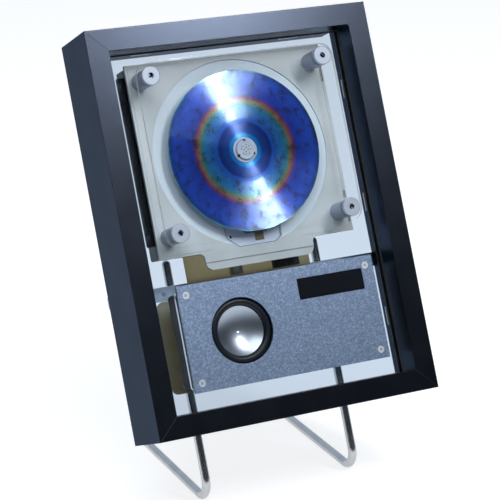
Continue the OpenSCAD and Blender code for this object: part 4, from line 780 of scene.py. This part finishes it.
# Thin black strips of painted groove shade along the liners' inner faces
def makeLinerGrooveShade():
    bm = bmesh.new()
    w = linerGrooveShade["halfWidth"]
    h = linerGrooveShade["halfHeight"]
    thin = linerGrooveShade["proud"]
    for s in (-1, 1):
        side = [(s * w, -h), (s * w, h), (s * (w - thin), h), (s * (w - thin), -h)]
        end = [(-w, s * h), (w, s * h), (w, s * (h - thin)), (-w, s * (h - thin))]
        addPrism(bm, side, linerGrooveShade["near"], linerGrooveShade["far"])
        addPrism(bm, end, linerGrooveShade["near"], linerGrooveShade["far"])
    newPiece("liner_groove_shade", bm, "paintedShadeBlack")


# Black hexagon linings: painted shade on the walls of the caps' sockets
def makeCapSocketShade():
    bm = bmesh.new()
    for x, z in capSocketShade["places"]:
        rows = []
        for radius, depth in (("outer", "near"), ("inner", "near"), ("inner", "far"), ("outer", "far")):
            radius = capSocketShade[radius]
            depth = capSocketShade[depth]
            row = []
            for i in range(6):
                a = math.radians(60 * i)
                row.append(bm.verts.new(place(x + radius * math.cos(a), depth, z + radius * math.sin(a))))
            rows.append(row)
        for near, far in zip(rows, rows[1:] + rows[:1]):
            for i in range(6):
                j = (i + 1) % 6
                bm.faces.new((near[i], near[j], far[j], far[i]))
    newPiece("cap_socket_shade", bm, "paintedShadeBlack")


# Black crosses: painted shade in the screws' cross recesses
def makeScrewCrossShade():
    bm = bmesh.new()
    half = screwCrossShade["half"]
    w = screwCrossShade["width"] / 2
    arms = [(half, w), (w, w), (w, half), (-w, half), (-w, w), (-half, w), (-half, -w), (-w, -w), (-w, -half),
            (w, -half), (w, -w), (half, -w)]
    for x, z in screwCrossShade["places"]:
        addPrism(bm, [(x + a, z + b) for a, b in arms], screwCrossShade["near"], screwCrossShade["far"])
    newPiece("screw_cross_shade", bm, "paintedShadeBlack")


makeTrayLines()
makeTraySlots()
makeSideFlange()
makeNotchShadowLine()
makeLinerGrooveShade()
makeCapSocketShade()
makeScrewCrossShade()
makeHubDetail()
makeBoardParts()
makeChipLegs()
print("small pieces made")

# Floor, sky and lamps: an upright strip to the right and a wide one overhead
stage = {"floorSize": 30.0, "floor": (0.50, 0.51, 0.52), "floorGlow": 0.75, "floorDim": (-0.8, -0.35),
         "sky": (0.78, 0.88, 1.0), "skyFront": 0.06, "skyBack": 0.7}
lamps = {
    "strip": dict(direction=(0.331, -0.573, 0.750), distance=2.0, size=(0.21, 0.92), power=17,
                  colour=(0.97, 0.98, 1.0)),
    "overhead": dict(direction=(-0.25, -0.35, 0.90), distance=2.2, size=(1.6, 1.6), power=24,
                     colour=(0.94, 0.97, 1.0)),
}


def makeFloor():
    half = stage["floorSize"] / 2
    bm = bmesh.new()
    corners = [(-half, -half), (half, -half), (half, half), (-half, half)]
    bm.faces.new([bm.verts.new((x, y, 0)) for x, y in corners])
    mesh = bpy.data.meshes.new("floor")
    bm.to_mesh(mesh)
    bm.free()
    floor = bpy.data.objects.new("floor", mesh)
    scene.collection.objects.link(floor)
    paper, tree, shader, output = startMaterial("floorPaper")
    coords = addNode(tree, "TexCoord").outputs["Object"]
    grain = noise(tree, coords, 0.003, 3)
    shader.inputs["Base Color"].default_value = (*stage["floor"], 1)
    shader.inputs["Roughness"].default_value = 0.9
    shader.inputs["Specular IOR Level"].default_value = 0.1
    bump = addNode(tree, "Bump", {"Height": grain, "Distance": 0.0001})
    tree.links.new(bump.outputs[0], shader.inputs["Normal"])
    # Seen directly, in metal or through the clear panel the floor is a little brighter, and keeps its shadow.
    # In metal it is dim in front of the player, as the sky is
    path = addNode(tree, "LightPath").outputs
    seen = math2(tree, "MAXIMUM", path["Is Camera Ray"], path["Is Transmission Ray"])
    back = addNode(tree, "SeparateXYZ", {"Vector": coords}).outputs["Y"]
    dimFrom, dimTo = stage["floorDim"]
    near = addNode(tree, "MapRange", {"Value": back, "From Min": dimFrom, "From Max": dimTo})
    glossy = math2(tree, "MULTIPLY", path["Is Glossy Ray"], near.outputs[0])
    seen = math2(tree, "MAXIMUM", seen, glossy)
    glow = addNode(tree, "Emission", {"Strength": math2(tree, "MULTIPLY", seen, stage["floorGlow"])})
    both = addNode(tree, "AddShader", {0: shader.outputs[0], 1: glow.outputs[0]})
    tree.links.new(both.outputs[0], output.inputs["Surface"])
    mesh.materials.append(paper)


def makeSky():
    world = bpy.data.worlds.new("studio")
    scene.world = world
    world.use_nodes = True
    tree = world.node_tree
    tree.nodes.clear()
    # Dim in front of the player and pale behind it
    way = addNode(tree, "TexCoord").outputs["Generated"]
    back = addNode(tree, "SeparateXYZ", {"Vector": way}).outputs["Y"]
    level = addNode(tree, "MapRange", {"Value": back, "From Min": -0.15, "From Max": 0.6,
                                       "To Min": stage["skyFront"], "To Max": stage["skyBack"]})
    soft = addNode(tree, "Background", {"Color": (*stage["sky"], 1), "Strength": level.outputs[0]})
    addNode(tree, "OutputWorld", {"Surface": soft.outputs[0]})


def makeLamps():
    aim = place(0, 20, 0)
    for name, lamp in lamps.items():
        data = bpy.data.lights.new(name, "AREA")
        data.shape = "RECTANGLE"
        data.size, data.size_y = lamp["size"]
        data.energy = lamp["power"]
        data.color = lamp["colour"]
        light = bpy.data.objects.new(name, data)
        way = Vector(lamp["direction"]).normalized()
        light.location = aim + way * lamp["distance"]
        light.rotation_euler = (-way).to_track_quat("-Z", "Y").to_euler()
        scene.collection.objects.link(light)


makeFloor()
makeSky()
makeLamps()
scene.view_settings.view_transform = "Standard"
print("stage, sky and lamps made")

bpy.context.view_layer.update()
